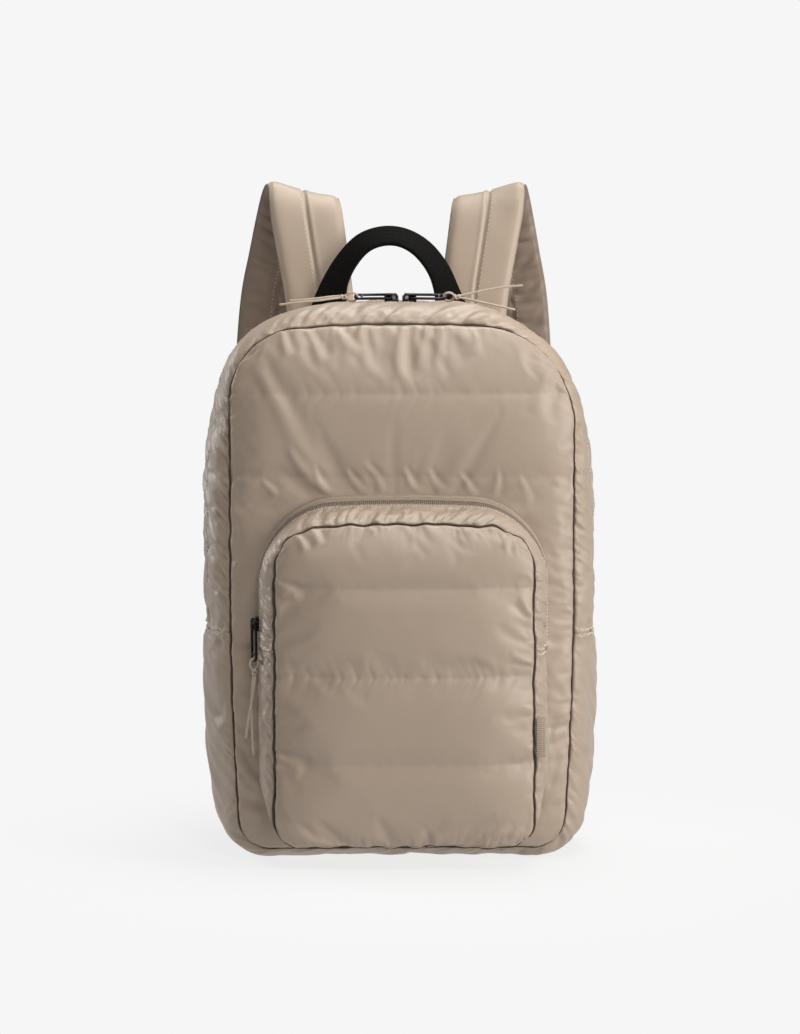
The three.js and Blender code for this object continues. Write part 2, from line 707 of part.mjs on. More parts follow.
function makeShoulderStrap(backPanel, word, side) {
  const frames = strapFrames(backPanel, side);
  const tip = frames.at(-1).middle;
  const line = webbingLine(backPanel, tip, side);
  return [
    named(`${word}_strap`, swept(bandRings(frames)), strapFabric),
    makeAdjuster(tip, line, side, `${word}_adjuster`),
    makeWebbing(tip, line, side, `${word}_webbing`),
  ];
}

// The slider: a block on the coil with a bridge over it that the puller's near bar passes under.
function sliderGeometry() {
  const block = new THREE.BoxGeometry(sliderLength, sliderWidth, sliderHeight);
  block.translate(0, 0, sliderHeight / 2);
  const reach = sliderLength / 2 - bridgeWall;
  const inside = reach - bridgeWall;
  const top = sliderHeight + bridgeRise;
  const arch = new THREE.Shape();
  arch.moveTo(-reach, sliderHeight / 2).lineTo(reach, sliderHeight / 2).lineTo(reach, top - bridgeWall);
  arch.lineTo(inside, top).lineTo(-inside, top).lineTo(-reach, top - bridgeWall);
  const gap = new THREE.Path();
  gap.moveTo(-inside, sliderHeight).lineTo(-inside, top - bridgeWall).lineTo(inside, top - bridgeWall);
  gap.lineTo(inside, sliderHeight);
  arch.holes.push(gap);
  const bridge = new THREE.ExtrudeGeometry(arch, { depth: bridgeWidth, bevelEnabled: false });
  bridge.rotateX(Math.PI / 2).translate(0, bridgeWidth / 2, 0);
  return fused(block, bridge);
}

// The puller: a long loop whose near bar lies under the bridge, with an eye for the cord at its far end.
function pullerGeometry() {
  const half = pullerWidth / 2;
  const straight = half - pullerCorner;
  const shape = new THREE.Shape();
  shape.moveTo(pullerCorner, -half).lineTo(pullerLength - pullerCorner, -half).lineTo(pullerLength, -straight);
  shape.lineTo(pullerLength, straight).lineTo(pullerLength - pullerCorner, half).lineTo(pullerCorner, half);
  shape.lineTo(0, straight).lineTo(0, -straight);
  const inside = half - pullerBar;
  const end = pullerLength - pullerEyeBlock;
  const slot = new THREE.Path();
  slot.moveTo(pullerBar, -inside).lineTo(pullerBar, inside).lineTo(end, inside).lineTo(end, -inside);
  const eye = new THREE.Path();
  eye.absarc(pullerLength - pullerEyeBlock / 2, 0, pullerEyeRadius, 0, 2 * Math.PI, true);
  shape.holes.push(slot, eye);
  const options = { depth: pullerThickness, bevelEnabled: false, curveSegments: 4 };
  return new THREE.ExtrudeGeometry(shape, options).translate(0, 0, -pullerThickness / 2);
}

// The cord's loop through the eye and the knot beyond it, with the loop's middle at the origin.
const loopRadius = Math.hypot(pullerEyeBlock / 2, pullerThickness / 2) + cordDiameter / 4;

function knotGeometry() {
  const loop = new THREE.TorusGeometry(loopRadius, cordDiameter / 2, 6, 10);
  loop.rotateX(Math.PI / 2);
  const knot = new THREE.SphereGeometry(knotRadius, 8, 6);
  knot.translate(loopRadius + knotRadius, 0, 0);
  return fused(loop, knot);
}

function tailGeometry(route) {
  const curve = new THREE.CatmullRomCurve3(route.map(([x, y, z]) => vector(x, y, z)));
  const section = new THREE.Shape();
  section.absarc(0, 0, cordDiameter / 2, 0, 2 * Math.PI, false);
  const options = { steps: 12, curveSegments: 4, extrudePath: curve, bevelEnabled: false };
  return new THREE.ExtrudeGeometry(section, options);
}

// Each pull sits on its zip's coil where a line towards the coil meets it.
// from: where that line starts; along: the way the puller lies; the cord's two tails are lists of chosen points
// in millimetres from the far side of the knot: along the puller, across it and off the zip.
const pulls = [
  {
    word: "left",
    zip: "main_zip",
    from: vector(-7, zipOffset, bagHeight * 2),
    toward: vector(0, 0, -1),
    along: vector(-1, 0, 0),
    tails: [
      [[0.6, 1.1, 0.2], [8, 3.4, 0.9], [19, 5.6, 0.8], [33, 6.6, 0.2], [48, 6.2, -2.4]],
      [[0.6, -1.1, 0], [8, -0.6, -0.2], [18, 1, -0.4], [29, 2, -1], [40, 1.6, -2.4]],
    ],
  },
  {
    word: "right",
    zip: "main_zip",
    from: vector(7, zipOffset, bagHeight * 2),
    toward: vector(0, 0, -1),
    along: vector(1, 0, 0),
    tails: [
      [[0.6, 1.1, 0.4], [8, 1.8, 2], [20, 2.8, 4.6], [34, 3.4, 7.4], [49, 2.8, 9.6]],
      [[0.6, -1.1, 0], [8, -3.4, 0], [18, -6.6, -0.2], [30, -9.8, -1], [43, -12.4, -2.6]],
    ],
  },
  {
    word: "pocket",
    zip: "pocket_zip",
    from: vector(-bagWidth, (pocketZipFrontY + pocketZipBackY) / 2, 187),
    toward: vector(1, 0, 0),
    along: vector(0, 0, -1),
    tails: [
      [[0.6, 1.1, 0], [9, 1.6, 1.6], [22, 1, 4], [36, -0.6, 6.2], [48, -1.6, 7.4]],
      [[0.6, -1.1, 0], [10, -2.2, 0.4], [26, -3.2, 0.6], [44, -3, 0.4], [62, -2, 0.2]],
    ],
  },
];

function makePull(zips, { word, zip, from, toward, along, tails }) {
  const off = toward.clone().negate();
  const across = vector().crossVectors(off, along);
  const group = new THREE.Group();
  group.position.copy(hit(zips[zip], from, toward)).addScaledVector(off, seamGap);
  group.setRotationFromMatrix(new THREE.Matrix4().makeBasis(along, across, off));
  const level = sliderHeight + pullFit + pullerThickness / 2;
  const eye = pullerLength - pullerEyeBlock / 2;
  const loopMiddle = eye + loopRadius;
  const knotEnd = loopMiddle + loopRadius + 2 * knotRadius;
  group.add(named(`${word}_slider`, sliderGeometry(), blackMetal));
  group.add(named(`${word}_puller`, pullerGeometry().translate(-pullerBar / 2, 0, level), blackMetal));
  group.add(named(`${word}_cord_knot`, knotGeometry().translate(loopMiddle, 0, level), cordFabric));
  tails.forEach((route, k) => {
    const tail = tailGeometry(route).translate(knotEnd, 0, level);
    group.add(named(`${word}_cord_tail_${k + 1}`, tail, cordFabric));
  });
  return group;
}

const backPanel = makeBackPanel();
const pocketPanel = makePocketPanel();
const pocketGusset = makePocketGusset();
const mainZip = makeMainZip();
const zips = { main_zip: mainZip, pocket_zip: pocketGusset.find((mesh) => mesh.name === "pocket_zip") };

const backpack = new THREE.Group();
backpack.add(makeFrontPanel(), backPanel, ...makeGusset(), mainZip);
backpack.add(pocketPanel, ...pocketGusset, makeLabel(pocketPanel));
backpack.add(makeHandle(backPanel));
backpack.add(...makeShoulderStrap(backPanel, "left", -1), ...makeShoulderStrap(backPanel, "right", 1));
backpack.add(...pulls.map((pull) => makePull(zips, pull)));

export default backpack;
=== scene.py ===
import math

import bmesh
import bpy
import numpy as np
from mathutils import Matrix, Vector, noise
from mathutils.bvhtree import BVHTree


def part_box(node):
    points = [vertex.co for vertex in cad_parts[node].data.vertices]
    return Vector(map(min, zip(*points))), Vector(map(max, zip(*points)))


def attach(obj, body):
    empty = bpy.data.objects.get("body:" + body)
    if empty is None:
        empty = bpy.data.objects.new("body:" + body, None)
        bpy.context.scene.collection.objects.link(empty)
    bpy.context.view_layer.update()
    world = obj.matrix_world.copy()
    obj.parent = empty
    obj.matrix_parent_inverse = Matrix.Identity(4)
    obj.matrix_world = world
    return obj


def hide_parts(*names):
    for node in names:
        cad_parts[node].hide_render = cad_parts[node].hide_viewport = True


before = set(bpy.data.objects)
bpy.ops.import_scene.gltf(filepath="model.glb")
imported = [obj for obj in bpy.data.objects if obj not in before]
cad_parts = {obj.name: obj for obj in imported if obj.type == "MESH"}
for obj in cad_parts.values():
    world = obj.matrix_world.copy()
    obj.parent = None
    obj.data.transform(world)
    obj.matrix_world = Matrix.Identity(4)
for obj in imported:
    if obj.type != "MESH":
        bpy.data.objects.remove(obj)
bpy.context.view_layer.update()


class Signal:
    """A shader socket that adds its Math nodes when it is used in an expression."""

    def __init__(self, finish, socket):
        self.finish, self.socket = finish, socket

    def math(self, operation, *values):
        return self.finish.node("ShaderNodeMath", {"operation": operation}, dict(enumerate([self, *values])))

    def other(self, output):
        return Signal(self.finish, self.socket.node.outputs[output])

    def __add__(self, other):
        return self.math("ADD", other)

    def __mul__(self, other):
        return self.math("MULTIPLY", other)

    def __sub__(self, other):
        return self.math("SUBTRACT", other)

    def __rsub__(self, other):
        return self * -1 + other

    __radd__ = __add__
    __rmul__ = __mul__


class Finish:
    """A material on a Principled surface; node() adds any node from its type, settings and sockets."""

    def __init__(self, name, **constants):
        self.material = bpy.data.materials.new(name)
        self.material.use_nodes = True
        self.tree = self.material.node_tree
        self.surface = self.tree.nodes["Principled BSDF"]
        for socket, value in constants.items():
            self.surface.inputs[socket.replace("_", " ")].default_value = value

    def node(self, kind, settings=None, sockets=None, output=0):
        made = self.tree.nodes.new(kind)
        for key, value in (settings or {}).items():
            setattr(made, key, value)
        for key, value in (sockets or {}).items():
            self.feed(made.inputs[key], value)
        return Signal(self, made.outputs[output])

    def feed(self, socket, value):
        if isinstance(socket, str):
            socket = self.surface.inputs[socket]
        if isinstance(value, Signal):
            self.tree.links.new(value.socket, socket)
        else:
            socket.default_value = value

    def blend(self, share, first, second):
        return self.node("ShaderNodeMix", {"data_type": "RGBA"}, {0: share, 6: first, 7: second}, 2)


def swatch(red, green, blue):
    """A colour read off a swatch in 0 to 255, as a linear one."""
    shares = [x / 255 for x in (red, green, blue)]
    return (*(x / 12.92 if x < 0.04045 else ((x + 0.055) / 1.055) ** 2.4 for x in shares), 1)


def stood(name, data):
    """A new object in the scene, at the origin."""
    piece = bpy.data.objects.new(name, data)
    bpy.context.scene.collection.objects.link(piece)
    return piece


paper = swatch(246, 246, 246)
target = Vector((0, 0, 0.263))
distance = 2.4
picture_height = 1034 * 0.000786
azimuth, elevation = math.radians(-2), math.radians(4)
away = Vector((
    math.sin(azimuth) * math.cos(elevation), -math.cos(azimuth) * math.cos(elevation), math.sin(elevation)))
camera_data = bpy.data.cameras.new("camera")
camera_data.sensor_width = 36
camera_data.lens = camera_data.sensor_width * distance / picture_height
camera = stood("camera", camera_data)
camera.location = target + away * distance
camera.rotation_euler = (-away).to_track_quat("-Z", "Y").to_euler()
bpy.context.scene.camera = camera
bpy.context.scene.view_settings.view_transform = "Standard"

world = bpy.data.worlds.new("room")
world.use_nodes = True
room = world.node_tree.nodes["Background"]
seen = world.node_tree.nodes.new("ShaderNodeBackground")
seen.inputs["Color"].default_value = paper
room.inputs["Color"].default_value = (1, 0.985, 0.965, 1)
room.inputs["Strength"].default_value = 0.01
either = world.node_tree.nodes.new("ShaderNodeMixShader")
rays = world.node_tree.nodes.new("ShaderNodeLightPath")
world.node_tree.links.new(rays.outputs["Is Camera Ray"], either.inputs["Fac"])
world.node_tree.links.new(room.outputs["Background"], either.inputs[1])
world.node_tree.links.new(seen.outputs["Background"], either.inputs[2])
world.node_tree.links.new(either.outputs["Shader"], world.node_tree.nodes["World Output"].inputs["Surface"])
bpy.context.scene.world = world


def window(name, place, width, height, power, tint):
    """A soft rectangular light at a place, turned to the middle of the bag."""
    data = bpy.data.lights.new(name, "AREA")
    data.shape = "RECTANGLE"
    data.size, data.size_y = width, height
    data.energy = power
    data.color = tint
    light = stood(name, data)
    light.location = place
    light.rotation_euler = (Vector(place) - target).to_track_quat("Z", "Y").to_euler()


# Each window: its place in metres, width, height, power in watts and tint.
window("window_right", (1.9, -1.3, 1.35), 0.9, 1.3, 27, (1, 0.985, 0.96))
window("window_right_low", (2.2, -1.0, 0.5), 1.0, 0.8, 23, (1, 0.985, 0.96))
window("window_front", (0.3, -1.7, 2.1), 0.9, 0.9, 24, (1, 0.99, 0.98))
window("window_top", (0.3, 0.2, 2.1), 1.0, 0.8, 27, (1, 0.99, 0.98))
window("window_behind", (-1.7, 1.0, 1.0), 1.0, 1.0, 20, (0.98, 0.99, 1))

disc = bmesh.new()
bmesh.ops.create_circle(disc, cap_ends=True, segments=64, radius=30)
paper_data = bpy.data.meshes.new("paper")
disc.to_mesh(paper_data)
disc.free()
paper_floor = stood("paper", paper_data)
paper_finish = Finish("paper", Roughness=0.9, Specular_IOR_Level=0, Emission_Strength=1)
on_floor = paper_finish.node("ShaderNodeTexCoord", output="Object")
from_bag = paper_finish.node("ShaderNodeVectorMath", {"operation": "LENGTH"}, {0: on_floor}, "Value")
open_floor = paper_finish.node("ShaderNodeMapRange", {"interpolation_type": "SMOOTHSTEP"}, {
    "Value": from_bag, "From Min": 0.12, "From Max": 0.45, "To Min": 0.0, "To Max": 1.0})
paper_finish.feed("Base Color", paper_finish.blend(open_floor, (0.12, 0.12, 0.12, 1), (0, 0, 0, 1)))
seen_directly = paper_finish.node("ShaderNodeLightPath", output="Is Camera Ray")
paper_finish.feed("Emission Color", paper_finish.blend(
    seen_directly, (0.58, 0.58, 0.58, 1), paper_finish.blend(open_floor, (0.79, 0.79, 0.79, 1), paper)))
paper_floor.data.materials.append(paper_finish.material)

# Pull cords: each zip puller carries one thin braided cord, doubled through its eye and knotted, with two
# free tails. They stand a little stiffly away from the knot and end in a heat-sealed tip.
MM = 0.001
cord_width = 1.8 * MM
pull_level = 4.25 * MM
loop_middle = 30.56 * MM
loop_radius = 4.06 * MM
knot_end = 39.03 * MM
pull_tip, pull_droop = math.radians(38), math.radians(0.5)


def pull_frame(word, along, off):
    """The place of a pull: its slider's foot, the way it lies and the way off the zip."""
    along, off = Vector(along), Vector(off)
    low, high = (Vector(corner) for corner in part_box(word + "_slider"))
    foot = (low + high) / 2 - off * (abs(off.dot(high - low)) / 2)
    turn = Matrix((along, off.cross(along), off)).transposed()
    return Matrix.Translation(foot) @ turn.to_4x4()


pulls = {
    "left": pull_frame("left", (-1, 0, 0), (0, 0, 1)),
    "right": pull_frame("right", (1, 0, 0), (0, 0, 1)),
    "pocket": pull_frame("pocket", (0, 0, -1), (-1, 0, 0)),
}
lying = {}
for word, pull in pulls.items():
    along, off = Vector(pull.col[0][:3]), Vector(pull.col[2][:3])
    tip = Matrix.Rotation(pull_tip, 4, off.cross(Vector((0, -1, 0))))
    droop = Matrix.Rotation(pull_droop, 4, along.cross(-off))
    foot = Matrix.Translation(pull.translation)
    lying[word] = foot @ droop @ tip @ foot.inverted()
    pulls[word] = lying[word] @ pull

# Each tail's points from the end of the knot: along the pull, aside and off the zip, in millimetres.
tail_routes = {
    "left": [
        [(0.6, 1.1, 0.2), (8, 3.4, 0.9), (19, 5.6, 0.8), (33, 6.6, 0.2), (48, 6.2, -2.4)],
        [(0.6, -1.1, 0), (8, -0.6, -0.2), (18, 1, -0.4), (29, 2, -1), (40, 1.6, -2.4)],
    ],
    "right": [
        [(0.6, 1.1, 0.4), (8, 1.8, 2), (20, 2.8, 4.6), (34, 3.4, 7.4), (49, 2.8, 9.6)],
        [(0.6, -1.1, 0), (8, -3.4, 0), (18, -6.6, -0.2), (30, -9.8, -1), (43, -12.4, -2.6)],
    ],
    "pocket": [
        [(0.6, 1.1, 0), (9, 1.6, 1.6), (22, 1, 4), (36, -0.6, 6.2), (48, -1.6, 7.4)],
        [(0.6, -1.1, 0), (10, -2.2, 0.4), (26, -3.2, 0.6), (44, -3, 0.4), (62, -2, 0.2)],
    ],
}


def smoothed(table, count):
    """Rows of numbers drawn as a smooth line through the rows of a table."""
    rows = np.array(table, float)
    padded_rows = np.vstack((2 * rows[0] - rows[1], rows, 2 * rows[-1] - rows[-2]))
    steps = np.linspace(0, len(rows) - 1, count)
    k = np.minimum(steps.astype(int), len(rows) - 2)
    t = (steps - k)[:, None]
    a, b, c, d = (padded_rows[k + i] for i in range(4))
    bent = (2 * a - 5 * b + 4 * c - d) * t ** 2 + (3 * b - a - 3 * c + d) * t ** 3
    return 0.5 * (2 * b + (c - a) * t + bent)


def cord_line(name, points):
    """A round cord along one smooth line of points."""
    data = bpy.data.curves.new(name, "CURVE")
    data.dimensions = "3D"
    data.bevel_depth = cord_width / 2
    data.bevel_resolution = 3
    data.resolution_u = 4
    data.use_fill_caps = True
    spline = data.splines.new("BEZIER")
    spline.bezier_points.add(len(points) - 1)
    for knot, point in zip(spline.bezier_points, points):
        knot.co = point
        knot.handle_left_type = knot.handle_right_type = "AUTO"
    return stood(name, data)


cord_finish = Finish("braided_cord", Roughness=0.62, Sheen_Weight=0.3, Specular_IOR_Level=0.35)
on_cord = cord_finish.node("ShaderNodeTexCoord", output="Object")
braid = cord_finish.node("ShaderNodeTexVoronoi", None, {"Vector": on_cord, "Scale": 1700.0})
shading = cord_finish.node("ShaderNodeTexNoise", None, {"Vector": on_cord, "Scale": 240.0, "Detail": 3.0})
cord_finish.feed("Base Color", cord_finish.blend(shading, swatch(204, 190, 170), swatch(174, 158, 140)))
cord_finish.feed("Normal", cord_finish.node("ShaderNodeBump", None, {
    "Height": braid, "Strength": 0.5, "Distance": 0.00025}))

for word, pull in pulls.items():
    around = [(loop_middle + loop_radius * math.cos(a), 0, pull_level + loop_radius * math.sin(a))
              for a in np.linspace(0.3, 2 * math.pi - 0.3, 12)]
    wrap = [(loop_middle + (6.5 + 1.7 * math.cos(a / 2)) * MM, 1.3 * MM * math.sin(a),
             pull_level + 1.3 * MM * math.cos(a)) for a in np.linspace(0.4, 4 * math.pi - 0.4, 20)]
    knot = cord_line(word + "_pull_knot", [pull @ Vector(p) for p in around + wrap])
    knot.data.materials.append(cord_finish.material)
    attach(knot, "root")
    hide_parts(word + "_cord_knot")
    for number, route in enumerate(tail_routes[word], 1):
        line = smoothed(route, 17) * MM + (knot_end, 0, pull_level)
        line = [pull @ Vector(point) for point in line]
        tail = cord_line(f"{word}_pull_tail_{number}", line)
        tail.data.materials.append(cord_finish.material)
        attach(tail, "root")
        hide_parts(f"{word}_cord_tail_{number}")
        long = sum((b - a).length for a, b in zip(line, line[1:]))

# Front panel: one piece of coated nylon over padding, quilted in level channels and sewn to the gusset all
# round. Its seam draws up the slack cloth, so folds fan in from it, and the pocket presses it flat below.
front_seam = -52 * MM
front_size = (0.267, 0.407)
bag_centre, bag_wander = 0.2, 1.0 * MM
front_channels = (362, 298, 236, 172, 104, 43)
pocket_foot = (111 * MM, 28 * MM, 285 * MM, 58 * MM)
turned_in = 4 * MM


def drawn_in(side, top, foot, tightening):
    """The bag's outline drawn in at its sides, top and foot, with tighter corners."""
    return {"half": 153.5 - side, "bottom": foot, "top": 432 - top, "left": 84 - tightening,
            "right": 104 - tightening, "foot": 34 - foot, "arch": 9, "taper": 8}


front_outline = drawn_in(20, 16, 9, 34)


def outline_edge(shape, edge, share):
    """Points on one edge of an upright outline with rounded corners, at shares of the edge's length."""
    half, bottom, shoulder = shape["half"], shape["bottom"], shape["top"] - shape["arch"]
    corners = {
        "foot_left": (shape["foot"] - half, bottom + shape["foot"], shape["foot"], 1.25),
        "foot_right": (half - shape["foot"], bottom + shape["foot"], shape["foot"], 1.75),
        "top_right": (half - shape["right"], shoulder - shape["right"], shape["right"], 0.25),
        "top_left": (shape["left"] - half, shoulder - shape["left"], shape["left"], 0.75),
    }
    first, last, turn = {
        "bottom": ("foot_left", "foot_right", 1),
        "top": ("top_left", "top_right", -1),
        "left": ("foot_left", "top_left", -1),
        "right": ("foot_right", "top_right", 1),
    }[edge]
    (x0, z0, r0, a0), (x1, z1, r1, a1) = corners[first], corners[last]
    eighth = math.pi / 4
    a0, a1 = a0 * math.pi, a1 * math.pi
    leave = np.array((x0 + r0 * math.cos(a0 + turn * eighth), z0 + r0 * math.sin(a0 + turn * eighth)))
    reach = np.array((x1 + r1 * math.cos(a1 - turn * eighth), z1 + r1 * math.sin(a1 - turn * eighth)))
    straight = np.linalg.norm(reach - leave)
    along = np.asarray(share, float) * (r0 * eighth + straight + r1 * eighth)
    first_angle = a0 + turn * np.minimum(along / r0, eighth)
    last_angle = a1 - turn * eighth + turn * np.maximum(0, (along - r0 * eighth - straight) / r1)
    middle = np.clip((along - r0 * eighth) / straight, 0, 1)
    before, after = along < r0 * eighth, along > r0 * eighth + straight
    x = np.where(before, x0 + r0 * np.cos(first_angle), leave[0] + middle * (reach[0] - leave[0]))
    z = np.where(before, z0 + r0 * np.sin(first_angle), leave[1] + middle * (reach[1] - leave[1]))
    x = np.where(after, x1 + r1 * np.cos(last_angle), x)
    z = np.where(after, z1 + r1 * np.sin(last_angle), z)
    height = np.clip((z - bottom) / (shoulder - bottom), 0, 1)
    rise = shape["arch"] * (1 - (x / half) ** 2) * height ** 3
    draw = shape["taper"] * (1 - np.minimum(1, 2 * height)) ** 2 / half
    return np.stack((x * (1 - draw), z + rise), -1) * MM


def spanned(shape, u, v):
    """The points at shares u across and v up of the area that an outline's four edges span."""
    low, high = outline_edge(shape, "bottom", u), outline_edge(shape, "top", u)
    near, far = outline_edge(shape, "left", v), outline_edge(shape, "right", v)
    a, b = outline_edge(shape, "bottom", [0, 1])
    c, d = outline_edge(shape, "top", [0, 1])
    u, v = u[:, None], v[:, None]
    return low * (1 - v) + high * v + near * (1 - u) + far * u - (a * (1 - u) + b * u) * (1 - v) - (
        c * (1 - u) + d * u) * v


def points_of(piece):
    co = np.empty(len(piece.data.vertices) * 3, np.float32)
    piece.data.vertices.foreach_get("co", co)
    return co.reshape(-1, 3).astype(float)


def place_points(piece, points):
    piece.data.vertices.foreach_set("co", np.ascontiguousarray(points, np.float32).ravel())
    piece.data.update()


def cloth_piece(name, across, up, width, height):
    """A flat grid of quads with a UV map in metres, and each point's shares across and up."""
    grid = bmesh.new()
    bmesh.ops.create_grid(grid, x_segments=across, y_segments=up, size=0.5)
    data = bpy.data.meshes.new(name)
    grid.to_mesh(data)
    grid.free()
    piece = stood(name, data)
    share = points_of(piece)[:, :2]
    share = (share - share.min(0)) / np.ptp(share, 0)
    corner = np.empty(len(data.loops), np.int32)
    data.loops.foreach_get("vertex_index", corner)
    chart = data.uv_layers.new(name="cloth")
    chart.data.foreach_set("uv", (share[corner] * (width, height)).astype(np.float32).ravel())
    data.polygons.foreach_set("use_smooth", np.ones(len(data.polygons), bool))
    return piece, share[:, 0], share[:, 1]


def from_edge(place, size):
    """How far places on a cloth are from its nearest edge."""
    return np.minimum(place, size - place).min(1)


def swell(across, up, wide, high, seed):
    """Smooth noise from -1 to 1 over a cloth, with swells of the given width and height in metres."""
    return np.array([noise.noise((a, b, seed)) for a, b in zip(across / wide, up / high)])


def wander(points, off, centre, amount):
    """Moves the points near a seam as its gathers pull it, the same for every cloth that it holds."""
    share = amount * np.exp(-off / (5 * MM))
    outward = (points - (0, 0, centre)) * (1, 0, 1)
    outward /= np.maximum(np.linalg.norm(outward, axis=1, keepdims=True), 1e-6)
    upright = points * (1, 0, 1)
    depth = np.array([noise.noise(Vector(p) / 0.011) for p in upright])
    depth += 0.5 * np.array([noise.noise(Vector(p) / 0.0052) for p in upright])
    swing = np.array([noise.noise(Vector(p) / 0.012 + Vector((0, 7, 0))) for p in upright])
    moved = points + outward * (share * swing)[:, None]
    moved[:, 1] -= 0.8 * share * depth
    return moved


def sew(piece, held, slack, pressure):
    """Makes a piece cloth that is held by its seams, with spare cloth between them and padding behind it."""
    stiffness = 12
    group = piece.vertex_groups.new(name="sewn")
    group.add(np.nonzero(held)[0].tolist(), 1.0, "REPLACE")
    modifier = piece.modifiers.new("cloth", "CLOTH")
    cloth = modifier.settings
    cloth.quality = 5
    cloth.mass = 0.15
    cloth.air_damping = 2
    cloth.tension_stiffness = cloth.compression_stiffness = stiffness
    cloth.shear_stiffness = stiffness / 3
    cloth.bending_stiffness = 0.5
    cloth.vertex_group_mass = "sewn"
    cloth.pin_stiffness = 1
    cloth.shrink_min = -slack
    cloth.use_pressure = True
    cloth.uniform_pressure_force = pressure
    cloth.effector_weights.gravity = 0
    modifier.collision_settings.use_collision = False
    modifier.collision_settings.use_self_collision = False


def settle(pieces, frames, cap):
    """Lets the cloth of some pieces settle together, and keeps the settled shape as their mesh."""
    began = [points_of(piece) for piece in pieces]
    for number in range(1, frames + 1):
        bpy.context.scene.frame_set(number)
    graph = bpy.context.evaluated_depsgraph_get()
    for piece, start in zip(pieces, began):
        now = start
        settled = np.empty(len(start) * 3, np.float32)
        piece.evaluated_get(graph).data.vertices.foreach_get("co", settled)
        move = settled.reshape(-1, 3) - start
        far = np.linalg.norm(move, axis=1, keepdims=True)
        now = start + move * np.minimum(1, cap / np.maximum(far, 1e-9))
        piece.modifiers.clear()
        place_points(piece, now)
    bpy.context.scene.frame_set(1)


def refine(piece):
    """Halves the grid of a settled cloth along smooth curves; returns each point's place on it in metres."""
    finer = piece.modifiers.new("finer", "SUBSURF")
    finer.levels = finer.render_levels = 1
    finer.boundary_smooth = "PRESERVE_CORNERS"
    finer.uv_smooth = "NONE"
    made = bpy.data.meshes.new_from_object(piece.evaluated_get(bpy.context.evaluated_depsgraph_get()))
    piece.modifiers.clear()
    piece.data = made
    corner = np.empty(len(made.loops), np.int32)
    made.loops.foreach_get("vertex_index", corner)
    chart = np.empty(len(made.loops) * 2, np.float32)
    made.uv_layers["cloth"].data.foreach_get("uv", chart)
    place = np.empty((len(made.vertices), 2))
    place[corner] = chart.reshape(-1, 2)
    return place


def push(piece, amount):
    """Moves the points of a cloth outwards along their normals."""
    normals = np.empty(len(piece.data.vertices) * 3, np.float32)
    piece.data.vertex_normals.foreach_get("vector", normals)
    place_points(piece, points_of(piece) + normals.reshape(-1, 3) * np.asarray(amount)[:, None])


def puckers(along, off, pitch, reach, seed, lean=0.0):
    """Narrow dents that leave a seam and die away within the cloth, from -1 to 0."""
    dent = np.zeros(len(along))
    near = off < 5 * reach
    along, off = along[near], off[near]
    line = swell(along + lean * off, off, pitch, 6 * pitch, seed)
    far = reach * np.clip(1 + 1.6 * swell(along, 0 * along, 5 * pitch, 1, seed + 0.5), 0.3, 2.2)
    dent[near] = -np.exp(-((line / 0.16) ** 2) - off / far)
    return dent


def edge_puckers(place, size, pitch, reach, seed):
    """Puckers along the four sewn edges of a cloth."""
    along, up = place.T
    return (puckers(along, np.minimum(up, size[1] - up), pitch, reach, seed)
            + puckers(up, np.minimum(along, size[0] - along), pitch, reach, seed + 3))


def folded(points, folds):
    """Soft folds on an upright panel, each from a point to a point, with its width and height."""
    flat = points[:, (0, 2)] / MM
    total = np.zeros(len(flat))
    for x0, z0, x1, z1, width, height in folds:
        start, way = np.array((x0, z0)), np.array((x1 - x0, z1 - z0), float)
        long = np.linalg.norm(way)
        share = (flat - start) @ way / long ** 2
        near = (share > -0.2) & (share < 1.2)
        part = share[near]
        aside = (flat[near] - start) @ (-way[1], way[0]) / long
        aside += width * 0.5 * np.sin(part * 4 + x0)
        spread = width * (0.6 + 0.7 * np.clip(part, 0, 1))
        ridge = np.exp(-((aside / spread) ** 2)) - 0.8 * np.exp(-(((aside - 1.7 * spread) / spread) ** 2))
        fade = np.clip(1.2 - np.abs(2 * part - 1) ** 3, 0, 1)
        fade *= np.clip((1.2 - np.abs(part - 0.5) * 2) * 3, 0, 1)
        total[near] += height * ridge * fade
    return total * MM


def walled(piece, thickness):
    """Gives a settled cloth its wall, inwards from its outer face."""
    wall = piece.modifiers.new("wall", "SOLIDIFY")
    wall.thickness = thickness
    wall.offset = -1
    wall.use_rim = True


def nylon(name, light, dark, roughness=0.42, lining=None):
    """Satin coated nylon: a fine plain weave, faint creases and slow changes of tone.

    A lining is the darker cloth where the map's first value is below the given one.
    """
    finish = Finish(name, Sheen_Weight=0.12, Sheen_Roughness=0.35, Specular_IOR_Level=0.5)
    place = finish.node("ShaderNodeTexCoord", output="Object")
    chart = finish.node("ShaderNodeSeparateXYZ", None, {0: place.other("UV")})
    slow = finish.node("ShaderNodeTexNoise", None, {"Vector": place, "Scale": 9.0, "Detail": 3.0})
    crease = finish.node("ShaderNodeTexNoise", None, {
        "Vector": place, "Scale": 60.0, "Detail": 3.0, "Roughness": 0.5, "Distortion": 0.6})
    warp = (chart * 9000).math("SINE")
    weft = (chart.other("Y") * 9000).math("SINE")
    tone = finish.blend(slow, light, dark)
    if lining:
        tone = finish.blend(chart.math("LESS_THAN", lining), tone, swatch(138, 121, 106))
    finish.feed("Base Color", tone)
    finish.feed("Roughness", slow * 0.12 + (roughness - 0.06))
    weave = finish.node("ShaderNodeBump", None, {"Height": warp * weft, "Strength": 0.3, "Distance": 0.00006})
    finish.feed("Normal", finish.node("ShaderNodeBump", None, {
        "Height": crease, "Strength": 0.2, "Distance": 0.001, "Normal": weave}))
    return finish.material


